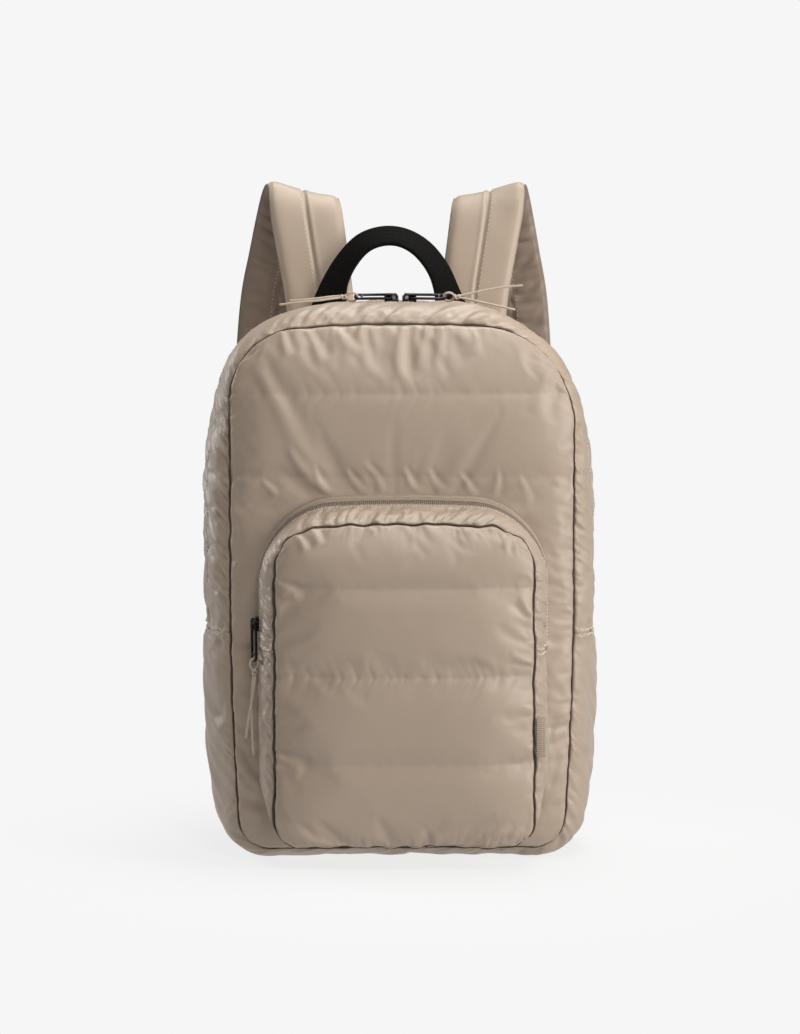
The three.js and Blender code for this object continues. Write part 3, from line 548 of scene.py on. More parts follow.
def face_depth(node, flat, seam, facing, u, v):
    """How far a CAD panel's face stands from its seam at each point of a cloth, without its facets."""
    tree = BVHTree.FromObject(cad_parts[node], bpy.context.evaluated_depsgraph_get())
    depth = np.full(len(flat), 0.0)
    for k, (x, z) in enumerate(flat):
        inside = Vector((x * 0.997, facing, bag_centre + (z - bag_centre) * 0.997))
        spot = tree.ray_cast(inside, Vector((0, -facing, 0)))[0]
        depth[k] = abs(spot.y - seam) if spot else 0
    order = np.lexsort((np.round(u, 5), np.round(v, 5)))
    grid = depth[order].reshape(len(np.unique(np.round(v, 5))), -1)
    for _ in range(14):
        for rows in (grid, grid.T):
            rows[1:-1] = (rows[:-2] + 2 * rows[1:-1] + rows[2:]) / 4
    depth[order] = grid.ravel()
    return depth


def laid_over(node, flat, edge, u, v, seam, facing, shy):
    """The points of a cloth over the face of its solid, a little inside it where its padding fills it out."""
    depth = face_depth(node, flat, seam, facing, u, v) - shy * np.minimum(1, edge / (20 * MM))
    depth = np.where(edge < 1e-6, 0, np.maximum(depth, 0.4 * MM))
    return np.stack((flat[:, 0], seam + facing * depth, flat[:, 1]), -1)


def pocket_shape(inset, corner, wall=0):
    """The pocket's outline on its way from the front panel, at 0, to its front seam, at 1."""
    tightening = 26 * corner + wall
    return {"half": 111 - 11.5 * inset - wall, "bottom": 28 - 10 * inset + wall,
            "top": 285 - 19 * inset - wall, "left": 58 - tightening, "right": 58 - tightening,
            "foot": 48 - tightening, "arch": 6, "taper": 0}


def outside_box(flat, half, low, high, radius):
    """How far points lie outside an upright box with rounded corners, negative inside it."""
    across = np.abs(flat[:, 0]) - half + radius
    up = np.abs(flat[:, 1] - (low + high) / 2) - (high - low) / 2 + radius
    return np.hypot(np.maximum(across, 0), np.maximum(up, 0)) + np.minimum(np.maximum(across, up), 0) - radius


def seam_groove(off, depth):
    """The cloth turned in at its seam."""
    return -depth * np.exp(-((off / (1.4 * MM)) ** 2))


def quilting(points, channels, depth, seed, gathered):
    """Quilted channels: soft valleys, lowest at the stitching, with more puckers across one of them."""
    total = np.zeros(len(points))
    for number, z in enumerate(channels):
        off = np.abs(points[:, 2] - z * MM)
        total -= depth * np.exp(-off / (7 * MM))
        small = 0.45 if number == gathered else 0.12
        total += small * depth * puckers(points[:, 0], off, 12 * MM, 7 * MM, seed + number, 0.5)
    return total


shell = nylon("shell_nylon", swatch(177, 159, 141), swatch(164, 146, 129))
front, u, v = cloth_piece("front_panel_cloth", 84, 128, *front_size)
flat = spanned(front_outline, u, v)
edge = from_edge(np.stack((u, v), -1) * front_size, front_size)
beside_pocket = outside_box(flat, *pocket_foot)
free = np.clip((beside_pocket + 2 * MM) / (12 * MM), 0, 1)
points = laid_over("front_panel", flat, edge, u, v, front_seam, -1, 1.5 * MM * free)
place_points(front, wander(points, edge, bag_centre, bag_wander))
sew(front, (edge < 1e-6) | (beside_pocket < -4 * MM), 0.012, 3)
settle([front], 16, 10 * MM)
# Each fold: from x, z to x, z in millimetres, half width, height.
front_folds = [
    (-115, 379, -58, 290, 7, 1.2), (-96, 412, -85, 390, 3.2, 0.9), (-78, 414, -60, 386, 3.4, 0.9),
    (-50, 416, -37, 391, 3.4, 0.8), (-31, 416, -27, 374, 4, 0.9), (-1, 418, -2, 372, 4.4, 1.0),
    (17, 418, 14, 380, 3.4, 0.8), (30, 413, 27, 378, 3.2, 0.6), (58, 411, 53, 391, 3.2, 0.5),
    (120, 386, 98, 348, 5.6, 1.0), (-109, 294, -95, 285, 2.4, 1.0), (-132, 299, -110, 293, 3.6, 1.0),
    (-88, 321, -58, 283, 4, 1.0), (-70, 307, -57, 284, 2.6, 0.8), (-43, 305, -32, 284, 2.4, 0.8),
    (-29, 310, -16, 286, 2.6, 0.8), (-1, 305, 12, 286, 2.6, 0.9), (18, 304, 31, 286, 2.6, 0.8),
    (42, 300, 57, 282, 2.6, 0.9), (72, 305, 69, 282, 2.6, 0.7), (90, 300, 95, 276, 2.8, 0.5),
    (-132, 93, -112, 56, 4, 1.6), (-131, 76, -117, 50, 3, 1.2), (-136, 46, -109, 34, 5, 1.4),
    (-131, 128, -120, 100, 4, 0.8), (114, 57, 130, 80, 4, 0.9), (116, 92, 130, 118, 4, 0.7),
    (-130, 232, -118, 214, 4, 0.7),
]
place = refine(front)
points = points_of(front)
edge = from_edge(place, front_size)
beside_pocket = outside_box(points[:, (0, 2)], *pocket_foot)
free = np.clip((beside_pocket + 1 * MM) / (5 * MM), 0, 1)
shape = folded(points, front_folds) + quilting(points, front_channels, 1.0 * MM, 60, 0)
shape += 1.1 * MM * edge_puckers(place, front_size, 9 * MM, 8 * MM, 3)
push(front, shape * np.minimum(1, edge / turned_in) * free + seam_groove(edge, 2.2 * MM))
walled(front, 2 * MM)
front.data.materials.append(shell)
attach(front, "root")
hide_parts("front_panel")

# Gusset: the band between the two panels, of the same padded nylon. A front strip and a back strip carry the
# zip over the top, and the lower gusset goes under the bag; they meet at the double-stitched cross seams.
# The floor presses the lower gusset flat.
bag = (25, 12)
bag_cross = 176 * MM
by_floor = 1.5 * MM
# Depth: share of the way from seam to zip. Side, top, foot: how far the section is drawn in, in millimetres.
front_sections = [(0, 20, 16, 9), (0.06, 14.4, 9.6, 5.4), (0.24, 8.4, 4.5, 1.4), (0.55, 4.8, 1.1, 0),
                  (1, 2, 0, 0)]
back_sections = [(0, 2, 0, 0), (0.4, 0, 0.9, 0), (0.76, 1, 3.7, 0.6), (0.95, 3.3, 7.9, 3.6), (1, 5, 11, 6)]


def gusset_sections(table, from_y, to_y):
    """A strip's sections from its seam to its zip: each one's y in metres and its outline."""
    return [((from_y + (to_y - from_y) * depth) * MM, drawn_in(side, top, foot, 34 * side / 20))
            for depth, side, top, foot in table]


def ring_points(shape, station, rows, columns):
    """Points round an outline, anticlockwise from its lower left corner; a station is one panel division."""
    station = np.mod(station, 2 * (rows + columns))
    parts = [("bottom", 0, columns, False), ("right", columns, rows, False),
             ("top", columns + rows, columns, True), ("left", 2 * columns + rows, rows, True)]
    points = np.zeros((len(station), 2))
    for edge_name, first, count, backwards in parts:
        here = (station >= first) & (station <= first + count)
        share = (station[here] - first) / count
        points[here] = outline_edge(shape, edge_name, 1 - share if backwards else share)
    return points


def station_at(shape, height, rows, columns):
    """The station on the right edge at a height."""
    stations = np.linspace(columns, columns + rows, 120)
    return np.interp(height, ring_points(shape, stations, rows, columns)[:, 1], stations)


def band_points(sections, run, u, v, ring, aside=0):
    """The points of a gusset cloth at shares u round its ring and v of its depth, and its depth in metres."""
    ys = np.array([y for y, _ in sections])
    names = list(sections[0][1])
    table = np.array([[shape[name] for name in names] for _, shape in sections])
    inset = (table[:, names.index("half")] + table[:, names.index("top")]) / 2 * MM
    reach = np.concatenate(([0], np.cumsum(np.hypot(np.diff(ys), np.diff(inset)))))
    rows, columns = ring
    around = 2 * (rows + columns)
    part, height = run
    points = np.zeros((len(u), 3))
    for level in np.unique(v):
        at = np.abs(v - level) < 1e-9
        along = level * reach[-1]
        shape = {name: np.interp(along, reach, table[:, k]) for k, name in enumerate(names)}
        right = station_at(shape, height + aside, rows, columns)
        left = around + columns - right
        first, last = (right, left) if part == "upper" else (left - around, right)
        xz = ring_points(shape, first + u[at] * (last - first), rows, columns)
        points[at] = np.stack((xz[:, 0], np.full(len(xz), np.interp(along, reach, ys)), xz[:, 1]), -1)
    if ring == bag:
        # Each draw: its side, its height and spread in metres, and its depth in millimetres.
        within = np.clip(1 - (points[:, 1] / 0.0516) ** 2, 0, 1) ** 0.35
        draws = ((-1, 0.354, 0.036, 7), (1, 0.347, 0.044, 7), (-1, 0.05, 0.04, 3.5))
        for side, middle, high, amount in draws:
            slope = amount * MM * np.exp(-(((points[:, 2] - middle) / high) ** 2))
            points[:, 0] -= side * slope * within * (points[:, 0] * side > 0)
        slope = 3.5 * MM * np.exp(-(((np.abs(points[:, 0]) - 0.1) / 0.032) ** 2)) * (points[:, 2] > 0.3)
        points[:, 2] -= slope * within
    return points, reach[-1]


def band_cloth(name, sections, run, ring, across, up, shy, sewn):
    """One strip of gusset as cloth, drawn in a little where its padding will fill it out again."""
    centre, amount = (bag_centre, bag_wander) if ring == bag else (pocket_centre, pocket_wander)
    around = band_points(sections, run, np.linspace(0, 1, 200), np.full(200, 0.5), ring)[0]
    length = np.linalg.norm(np.diff(around, axis=0), axis=1).sum()
    depth = band_points(sections, run, np.zeros(2), np.array([0.0, 1.0]), ring)[1]
    piece, u, v = cloth_piece(name, across, up, length, depth)
    u, v = np.round(u, 6), np.round(v, 6)
    points = band_points(sections, run, u, v, ring)[0]
    outward = (points - (0, 0, centre)) * (1, 0, 1)
    outward /= np.linalg.norm(outward, axis=1, keepdims=True)
    from_seam = np.minimum(v, 1 - v) * depth
    from_end = np.minimum(u, 1 - u) * length
    points -= outward * (shy * np.minimum(1, np.minimum(from_seam, from_end) / (6 * MM)))[:, None]
    from_sewn = np.minimum(v * depth + (1 - sewn[0]), (1 - v) * depth + (1 - sewn[1]))
    place_points(piece, wander(points, from_sewn, centre, amount))
    piece.data.flip_normals()
    return piece, (from_seam < 1e-6) | (from_end < 1e-6), (length, depth)


def band_relief(place, size, seed, depth, lean, groove, strong=0.0):
    """The puckers and slanting folds of a gusset strip, and its edges turned in at the seams that it has."""
    along, up = place.T
    front_off, back_off = up, size[1] - up
    ends = np.minimum(along, size[0] - along)
    shape = puckers(along, front_off, 9 * MM, 11 * MM, seed, lean)
    shape += puckers(along, back_off, 9 * MM, 9 * MM, seed + 3, -lean)
    shape += 0.8 * puckers(up, ends, 8 * MM, 7 * MM, seed + 6)
    shape += 0.9 * swell(along + 1.3 * lean * up, up, 17 * MM, 45 * MM, seed + 7)
    shape *= 1 + 0.5 * np.exp(-(((along / size[0] - strong) / 0.15) ** 2))
    inside = np.minimum(1, np.minimum(np.minimum(front_off, back_off), ends) / turned_in)
    turned = seam_groove(front_off, groove[0]) + seam_groove(back_off, groove[1])
    return depth * shape * inside + turned + seam_groove(ends, groove[2])


front_band = gusset_sections(front_sections, -51.6, -13.5)
back_band = gusset_sections(back_sections, -2.5, 51.6)
lower_band = front_band[:-1] + back_band[1:]
# Each strip: name, sections, part of the ring, divisions along and across, seed, which edges are sewn,
# the depths of its three grooves and of its relief in millimetres, and node.
strips = [
    ("gusset_front", front_band, "upper", 310, 13, 11, (1, 0), (2.0, 0.4, 1.4), 2.2, "gusset_front_strip"),
    ("gusset_back", back_band, "upper", 290, 16, 12, (0, 1), (0.4, 1.8, 1.4), 2.0, "gusset_back_strip"),
    ("lower_gusset", lower_band, "lower", 210, 30, 13, (1, 1), (2.0, 1.8, 1.4), 1.8, "lower_gusset"),
]
gusset = []
for name, sections, part, across, up, seed, sewn, groove, relief, node in strips:
    piece, held, size = band_cloth(
        name + "_cloth", sections, (part, bag_cross), bag, across, up, 1.2 * MM, sewn)
    sew(piece, held, 0.012, 3)
    gusset.append((piece, node, size, seed, groove, relief))
settle([row[0] for row in gusset], 14, 6 * MM)
for piece, node, size, seed, groove, relief in gusset:
    place = refine(piece)
    push(piece, band_relief(place, size, seed, relief * MM, 0.8, [depth * MM for depth in groove], 0.82))
    points = points_of(piece)
    pressed = by_floor * np.exp(np.minimum(points[:, 2] / by_floor - 1, 0))
    points[:, 2] = np.where(points[:, 2] < by_floor, pressed, points[:, 2])
    place_points(piece, points)
    walled(piece, 2 * MM)
    piece.data.materials.append(shell)
    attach(piece, "root")
    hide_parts(node)

# Back panel: one plain piece of the same nylon over a thicker, stiffer foam, without channels. It is sewn to
# the gusset all round and holds the feet of the handle, the straps and the webbing.
back_seam = 52 * MM
back_size = (0.297, 0.415)
back_outline = drawn_in(5, 11, 6, 8.5)
back, u, v = cloth_piece("back_panel_cloth", 54, 76, *back_size)
flat = spanned(back_outline, u, v)
edge = from_edge(np.stack((u, v), -1) * back_size, back_size)
points = laid_over("back_panel", flat, edge, u, v, back_seam, 1, 0.8 * MM)
place_points(back, wander(points, edge, bag_centre, bag_wander))
back.data.flip_normals()
sew(back, edge < 1e-6, 0.008, 1)
settle([back], 10, 3 * MM)
place = refine(back)
edge = from_edge(place, back_size)
shape = 0.8 * MM * edge_puckers(place, back_size, 9 * MM, 9 * MM, 21)
push(back, shape * np.minimum(1, edge / turned_in) + seam_groove(edge, 1.8 * MM))
walled(back, 2 * MM)
back.data.materials.append(shell)
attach(back, "root")
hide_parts("back_panel")

# Front pocket: a puffed pocket sewn to the front panel, of a quilted panel, an outer strip, an inner strip
# and a lower gusset. Its outer strip is gathered along the front seam, which wanders and puckers with it.
pocket = (15, 10)
pocket_cross = 167 * MM
pocket_seam = -101.4 * MM
pocket_size = (0.199, 0.248)
pocket_centre, pocket_wander = 0.145, 2.2 * MM
pocket_channels = (217, 150, 83)
pocket_outline = pocket_shape(1, 1)
# Each row: y, and the shares by which the sides and foot, the corners and the top are drawn in there.
pocket_sections = [(-101, 1, 1, 1), (-98.8, 0.76, 0.88, 0.88), (-94.4, 0.46, 0.64, 0.72),
                   (-87.1, 0.24, 0.4, 0.54), (-77.2, 0.1, 0.15, 0.4), (-69.4, 0.03, 0.05, 0.08),
                   (-64.4, 0, 0, 0)]


def pocket_section(y, wall=0):
    """The pocket's section at a y in millimetres: y in metres and its outline, drawn in by a wall."""
    ys = [row[0] for row in pocket_sections]
    inset, corner, top = (np.interp(y, ys, [row[k] for row in pocket_sections]) for k in (1, 2, 3))
    return y * MM, {**pocket_shape(inset, corner, wall), "top": 285 - 19 * top - wall}


pocket_panel, u, v = cloth_piece("pocket_panel_cloth", 76, 94, *pocket_size)
flat = spanned(pocket_outline, u, v)
edge = from_edge(np.stack((u, v), -1) * pocket_size, pocket_size)
points = laid_over("pocket_panel", flat, edge, u, v, pocket_seam, -1, 1.5 * MM)
place_points(pocket_panel, wander(points, edge, pocket_centre, pocket_wander))
sew(pocket_panel, edge < 1e-6, 0.01, 3)
# Each strip: name, its sections' y, part of the ring, divisions along and across, seed, which edges are
# sewn, the depths of its three grooves in millimetres, and node.
pocket_strips = [
    ("pocket_outer_cloth", (-101, -98.8, -94.4, -87.1, -77.4), "upper", 270, 11, 41, (1, 0), (2.2, 0, 1.4),
     "pocket_outer_strip"),
    ("pocket_inner_cloth", (-69.4, -64.4), "upper", 150, 3, 42, (0, 0), (0, 0, 0.6), "pocket_inner_strip"),
    ("pocket_lower_cloth", [row[0] for row in pocket_sections], "lower", 190, 16, 43, (1, 0),
     (2.2, 0, 1.4), "pocket_lower_gusset"),
]
sewn_strips = []
for name, ys, part, across, up, seed, sewn, groove, node in pocket_strips:
    wide = node != "pocket_inner_strip"
    piece, held, size = band_cloth(name, [pocket_section(y) for y in ys], (part, pocket_cross), pocket,
                                   across, up, 0.8 * MM * wide, sewn)
    sew(piece, held, 0.015, 3 if wide else 1)
    sewn_strips.append((piece, node, size, seed, groove, wide))
settle([pocket_panel] + [row[0] for row in sewn_strips], 14, 6 * MM)
pocket_folds = [
    (-99, 223, -79, 207, 3.2, 1.3), (-94, 214, -82, 209, 2.4, 0.7), (-99, 93, -79, 76, 3.8, 1.3),
    (-99, 158, -85, 149, 4, 0.7), (98, 161, 78, 165, 2.8, 1.1), (98, 196, 85, 210, 3.2, 1.0),
    (98, 226, 85, 215, 3.2, 0.7), (98, 96, 81, 85, 3.4, 0.6), (-85, 259, -74, 244, 2.8, 1.0),
    (-72, 263, -63, 249, 2.8, 0.9), (-34, 268, -21, 259, 2.4, 0.8), (56, 268, 49, 257, 2.4, 0.7),
    (82, 258, 73, 247, 2.8, 0.8), (60, 22, 75, 35, 3.8, 0.9), (80, 24, 87, 35, 3, 0.7),
    (20, 20, 26, 31, 4, 0.6),
]
place = refine(pocket_panel)
points = points_of(pocket_panel)
edge = from_edge(place, pocket_size)
shape = folded(points, pocket_folds) + quilting(points, pocket_channels, 1.7 * MM, 70, 1)
shape += 1.1 * MM * edge_puckers(place, pocket_size, 7.5 * MM, 5 * MM, 31)
push(pocket_panel, shape * np.minimum(1, edge / turned_in) + seam_groove(edge, 2.4 * MM))
for piece, node, size, seed, groove, wide in sewn_strips:
    place = refine(piece)
    if wide:
        push(piece, band_relief(place, size, seed, 1.7 * MM, 0.5, [depth * MM for depth in groove]))
for piece, node in [(pocket_panel, "pocket_panel")] + [row[:2] for row in sewn_strips]:
    walled(piece, 1.6 * MM)
    piece.data.materials.append(shell)
    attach(piece, "root")
    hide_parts(node)

# Zips: a coil zip between the gusset's two upper strips and a shorter one round the pocket, both on woven
# tape in the shell's colour, sewn in along both edges and sunk a little below the cloth.
zip_finish = Finish("zip_tape", Roughness=0.6, Sheen_Weight=0.2, Specular_IOR_Level=0.4)
tape = zip_finish.node("ShaderNodeTexCoord", output="UV")
tape_place = zip_finish.node("ShaderNodeSeparateXYZ", None, {0: tape})
teeth = (tape_place * 4600).math("SINE")
coil_share = zip_finish.node("ShaderNodeAttribute", {"attribute_name": "coil"}, None, "Fac")
zip_finish.feed("Base Color", zip_finish.blend(coil_share, swatch(160, 143, 126), swatch(130, 113, 98)))
zip_finish.feed("Normal", zip_finish.node("ShaderNodeBump", None, {
    "Height": teeth * coil_share + (tape_place.other("Y") * 12000).math("SINE") * 0.08, "Strength": 0.8,
    "Distance": 0.0004}))
coil_half, coil_rise = 2 * MM, 0.9 * MM
split_half, split_depth = 0.35 * MM, 0.7 * MM
main_tape = drawn_in(3, 1, 1, 3.4)
zips = [
    ("main_zip_tape", [(-13.5 * MM, main_tape), (-2.5 * MM, main_tape)], bag_cross, bag, "main_zip"),
    ("pocket_zip_tape", [pocket_section(-77.4, 0.8), pocket_section(-69.4, 0.8)], pocket_cross, pocket,
     "pocket_zip"),
]
for name, sections, cross, ring, node in zips:
    piece, _, size = band_cloth(name, sections, ("upper", cross), ring, 220, 10, 0, (0, 0))
    off = np.abs(refine(piece)[:, 1] - size[1] / 2)
    coil = np.sqrt(np.clip(1 - (off / coil_half) ** 2, 0, 1))
    mask = piece.data.attributes.new("coil", "FLOAT", "POINT")
    mask.data.foreach_set("value", np.clip(coil * 2, 0, 1).astype(np.float32))
    push(piece, coil_rise * coil - split_depth * np.exp(-((off / split_half) ** 2)))
    walled(piece, 0.8 * MM)
    piece.data.materials.append(zip_finish.material)
    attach(piece, "root")
    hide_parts(node)

# Seams: where two cloths are sewn together, their turned edges lie at the bottom of a narrow groove, darkened
# by a dark line of painted shade along it. The cross seams and the zips' edges are topstitched in a paler
# thread.
# The seam line's dark brown is painted shade for the depth of the seam's groove.
seam_shade_finish = Finish("painted_seam_shade", Roughness=0.9, Base_Color=swatch(84, 70, 58), Specular_IOR_Level=0.2)
thread_finish = Finish("topstitch_thread", Roughness=0.6, Base_Color=swatch(222, 208, 190), Sheen_Weight=0.2)


def seam_line(name, shape, y, ring, centre, amount, width, sunk):
    """The closed dark line at the bottom of a panel's seam: painted shade for the depth of its groove."""
    station = np.linspace(0, 2 * sum(ring), 520, endpoint=False)
    xz = ring_points(shape, station, *ring)
    line = np.stack((xz[:, 0], np.full(len(xz), y), xz[:, 1]), -1)
    line = wander(line, np.zeros(len(line)), centre, amount)
    inward = (np.array((0, 0, centre)) - line) * (1, 0, 1)
    line += inward / np.linalg.norm(inward, axis=1, keepdims=True) * sunk
    line[:, 1] += sunk * (0.6 if y < 0 else -0.6)
    data = bpy.data.curves.new(name, "CURVE")
    data.dimensions = "3D"
    data.bevel_depth = width / 2
    data.bevel_resolution = 1
    spline = data.splines.new("POLY")
    spline.points.add(len(line) - 1)
    spline.points.foreach_set("co", np.hstack((line, np.ones((len(line), 1)))).astype(np.float32).ravel())
    spline.use_cyclic_u = True
    piece = stood(name, data)
    data.materials.append(seam_shade_finish.material)
    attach(piece, "root")


# Dark lines of painted shade in the front, back and pocket seams.
for name, outline, y in (("front_painted_seam_shade", front_outline, front_seam),
                         ("back_painted_seam_shade", back_outline, back_seam)):
    seam_line(name, outline, y, bag, bag_centre, bag_wander, 1.1 * MM, 1.1 * MM)
seam_line("pocket_painted_seam_shade", pocket_outline, pocket_seam, pocket, pocket_centre, pocket_wander,
          1.6 * MM, 1.0 * MM)


def stitches(name, rows, spacing=3.2 * MM, long=2.2 * MM, thick=0.3 * MM):
    """Stitches along rows, each a line of points and the normals of the cloth there."""
    made = bmesh.new()
    for line, normals in rows:
        step = np.concatenate(([0], np.cumsum(np.linalg.norm(np.diff(line, axis=0), axis=1))))
        for at in np.arange(spacing / 2, step[-1], spacing):
            spot = np.array([np.interp(at, step, line[:, k]) for k in range(3)])
            ahead = np.array([np.interp(at + 0.5 * MM, step, line[:, k]) for k in range(3)])
            behind = np.array([np.interp(at - 0.5 * MM, step, line[:, k]) for k in range(3)])
            normal = Vector([np.interp(at, step, normals[:, k]) for k in range(3)]).normalized()
            way = Vector(ahead - behind)
            way = (way - normal * way.dot(normal)).normalized()
            side = normal.cross(way)
            turn = Matrix((way * long / 2, side * thick, normal * thick)).transposed().to_4x4()
            bmesh.ops.create_icosphere(made, subdivisions=1, radius=1, matrix=Matrix.Translation(spot) @ turn)
    data = bpy.data.meshes.new(name)
    made.to_mesh(data)
    made.free()
    data.polygons.foreach_set("use_smooth", np.ones(len(data.polygons), bool))
    piece = stood(name, data)
    data.materials.append(thread_finish.material)
    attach(piece, "root")


def laid_on(pieces, line, outward):
    """A line moved onto the nearest cloth under it, with that cloth's normals."""
    graph = bpy.context.evaluated_depsgraph_get()
    trees = [BVHTree.FromObject(piece, graph) for piece in pieces]
    spots, normals = [], []
    for point, out in zip(line, outward):
        from_outside = Vector(point + out * 3 * MM)
        near = min((tree.find_nearest(from_outside) for tree in trees), key=lambda hit: hit[3])
        spots.append(near[0])
        normals.append(near[1])
    return np.array(spots), np.array(normals)


def row_on_band(pieces, sections, run, ring, first, last, low, high, count, aside=0):
    """A row of stitches on a gusset between two shares of its run and two shares of its depth."""
    centre, amount = (bag_centre, bag_wander) if ring == bag else (pocket_centre, pocket_wander)
    u, v = np.linspace(first, last, count), np.linspace(low, high, count)
    line, depth = band_points(sections, run, u, v, ring, aside)
    line = wander(line, np.minimum(v, 1 - v) * depth, centre, amount)
    outward = (line - (0, 0, centre)) * (1, 0, 1)
    outward /= np.linalg.norm(outward, axis=1, keepdims=True)
    return laid_on(pieces, line, outward)


gusset_cloths = [row[0] for row in gusset]
pocket_cloths = [row[0] for row in sewn_strips]
outer_band = [pocket_section(row[0]) for row in pocket_sections[:5]]
for name, cloths, sections, height, ring in (
        ("cross_seam_stitches", gusset_cloths, lower_band, bag_cross, bag),
        ("pocket_cross_stitches", pocket_cloths, outer_band, pocket_cross, pocket)):
    stitches(name, [
        row_on_band(cloths, sections, ("upper", height), ring, share, share, 0.04, 0.96, 60, aside)
        for share in (0, 1) for aside in (-2.6 * MM, 2.6 * MM)],
        long=2.7 * MM, thick=0.5 * MM)
stitches("pocket_zip_stitches", [row_on_band(
    pocket_cloths, outer_band, ("upper", pocket_cross), pocket, 0.01, 0.99, 0.94, 0.94, 260)],
    spacing=2.8 * MM, thick=0.35 * MM)
stitches("main_zip_stitches", [row_on_band(
    gusset_cloths, band, ("upper", bag_cross), bag, 0.01, 0.99, share, share, 300)
    for band, share in ((front_band, 0.95), (back_band, 0.04))], spacing=3.4 * MM)

# Hardware: black enamelled sliders and looped pullers, black moulded adjusters, and a folded woven label
# without any marking, set in the pocket's front seam. They keep the solids' shape, with softened edges.
metal = Finish("black_metal", Base_Color=swatch(30, 30, 31), Metallic=0.6, Roughness=0.32)
plastic = Finish("black_plastic", Base_Color=swatch(34, 33, 32), Roughness=0.5, Specular_IOR_Level=0.4)
grain = plastic.node("ShaderNodeTexNoise", None, {
    "Vector": plastic.node("ShaderNodeTexCoord", output="Object"), "Scale": 900.0})
plastic.feed("Normal", plastic.node("ShaderNodeBump", None, {
    "Height": grain, "Strength": 0.2, "Distance": 0.0002}))
wear = metal.node("ShaderNodeTexNoise", None, {
    "Vector": metal.node("ShaderNodeTexCoord", output="Object"), "Scale": 400.0, "Detail": 3.0})
metal.feed("Roughness", wear * 0.2 + 0.24)
label = Finish("label_fabric", Roughness=0.75, Sheen_Weight=0.2, Base_Color=swatch(172, 155, 138))
rib = label.node("ShaderNodeSeparateXYZ", None, {0: label.node("ShaderNodeTexCoord", output="Object")})
label.feed("Normal", label.node("ShaderNodeBump", None, {
    "Height": (rib.other("Z") * 3900).math("SINE"), "Strength": 0.5, "Distance": 0.0004}))


def moulded(node, finish, edge, turned=Matrix()):
    """A CAD node's shape with softened edges, turned as it hangs."""
    shape = bmesh.new()
    shape.from_mesh(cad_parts[node].data)
    shape.transform(turned)
    bmesh.ops.remove_doubles(shape, verts=shape.verts, dist=1e-6)
    sharp = [e for e in shape.edges if len(e.link_faces) == 2 and e.calc_face_angle() > math.radians(35)]
    bmesh.ops.bevel(shape, geom=sharp, offset=edge, segments=2, profile=0.5, affect="EDGES", material=-1,
                    clamp_overlap=True)
    data = bpy.data.meshes.new(node + "_shape")
    shape.to_mesh(data)
    shape.free()
    data.polygons.foreach_set("use_smooth", np.ones(len(data.polygons), bool))
    data.set_sharp_from_angle(angle=math.radians(40))
    piece = stood(node + "_shape", data)
    data.materials.append(finish.material)
    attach(piece, "root")
    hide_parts(node)


for word in ("left", "right", "pocket"):
    moulded(word + "_slider", metal, 0.5 * MM, lying[word])
    moulded(word + "_puller", metal, 0.4 * MM, lying[word])
for word in ("left", "right"):
    moulded(word + "_adjuster", plastic, 0.7 * MM)
moulded("side_label", label, 0.4 * MM)

# Carry handle: black webbing, flat at its feet, which are sewn on the back panel, and folded double in the
# grip, which leans to the front.
back_face = BVHTree.FromObject(back, bpy.context.evaluated_depsgraph_get())


def on_back(x, z):
    """Where the settled back panel's outer face stands, all in millimetres."""
    return back_face.ray_cast(Vector((x * MM, 1, z * MM)), Vector((0, -1, 0)))[0].y / MM


# Each station: x, y, z, half the width and half the thickness in millimetres, and the lean in degrees.
handle_stations = [
    (-57, on_back(-57, 378), 378, 15, 0.9, 0), (-57, on_back(-57, 387), 387, 15, 0.9, 0),
    (-57, 59, 400, 15, 0.9, 0), (-55, 60, 425.2, 14.4, 1.1, 6), (-50, 59.8, 446.3, 10.7, 2, 16),
    (-40.8, 59.8, 464, 9.5, 2.3, 28), (-27.5, 59.9, 478.4, 9.5, 2.3, 36), (-11.1, 59.9, 484.3, 9.5, 2.3, 40),
    (5.3, 59.9, 482.6, 9.5, 2.3, 40), (20.6, 59.9, 473.3, 9.5, 2.3, 34), (32.9, 59.8, 457.3, 9.5, 2.3, 24),
    (40, 59.8, 438.7, 10.7, 2, 14), (44, 60, 420.2, 14.4, 1.1, 5), (45, 59, 400, 15, 0.9, 0),
    (45, on_back(45, 387), 387, 15, 0.9, 0), (45, on_back(45, 378), 378, 15, 0.9, 0),
]


def tube_piece(name, rings, around_length, along_length):
    """A closed skin over rings of points, with its ends closed; its UV runs round and along in metres."""
    count, sides = rings.shape[:2]
    piece, u, v = cloth_piece(name, sides, count - 1, around_length, along_length)
    row = np.round(v * (count - 1)).astype(int)
    column = np.round(u * sides).astype(int) % sides
    place_points(piece, rings[row, column])
    skin = bmesh.new()
    skin.from_mesh(piece.data)
    bmesh.ops.remove_doubles(skin, verts=skin.verts, dist=1e-6)
    bmesh.ops.holes_fill(skin, edges=[e for e in skin.edges if e.is_boundary], sides=0)
    bmesh.ops.recalc_face_normals(skin, faces=skin.faces)
    skin.to_mesh(piece.data)
    skin.free()
    return piece


def band_frames(middle, across):
    """The unit vectors across and off a band, square to the line of its middles."""
    along = np.gradient(middle, axis=0)
    along /= np.linalg.norm(along, axis=1, keepdims=True)
    across = across - along * (across * along).sum(1, keepdims=True)
    across /= np.linalg.norm(across, axis=1, keepdims=True)
    return across, np.cross(across, along)


def flat_section(sides):
    """A flat rounded section, one row for each side: its place across and off, both from -1 to 1."""
    angle = np.linspace(0, 2 * math.pi, sides, endpoint=False)
    round_way = np.stack((np.cos(angle), np.sin(angle)), -1)
    return np.sign(round_way) * np.abs(round_way) ** 0.35


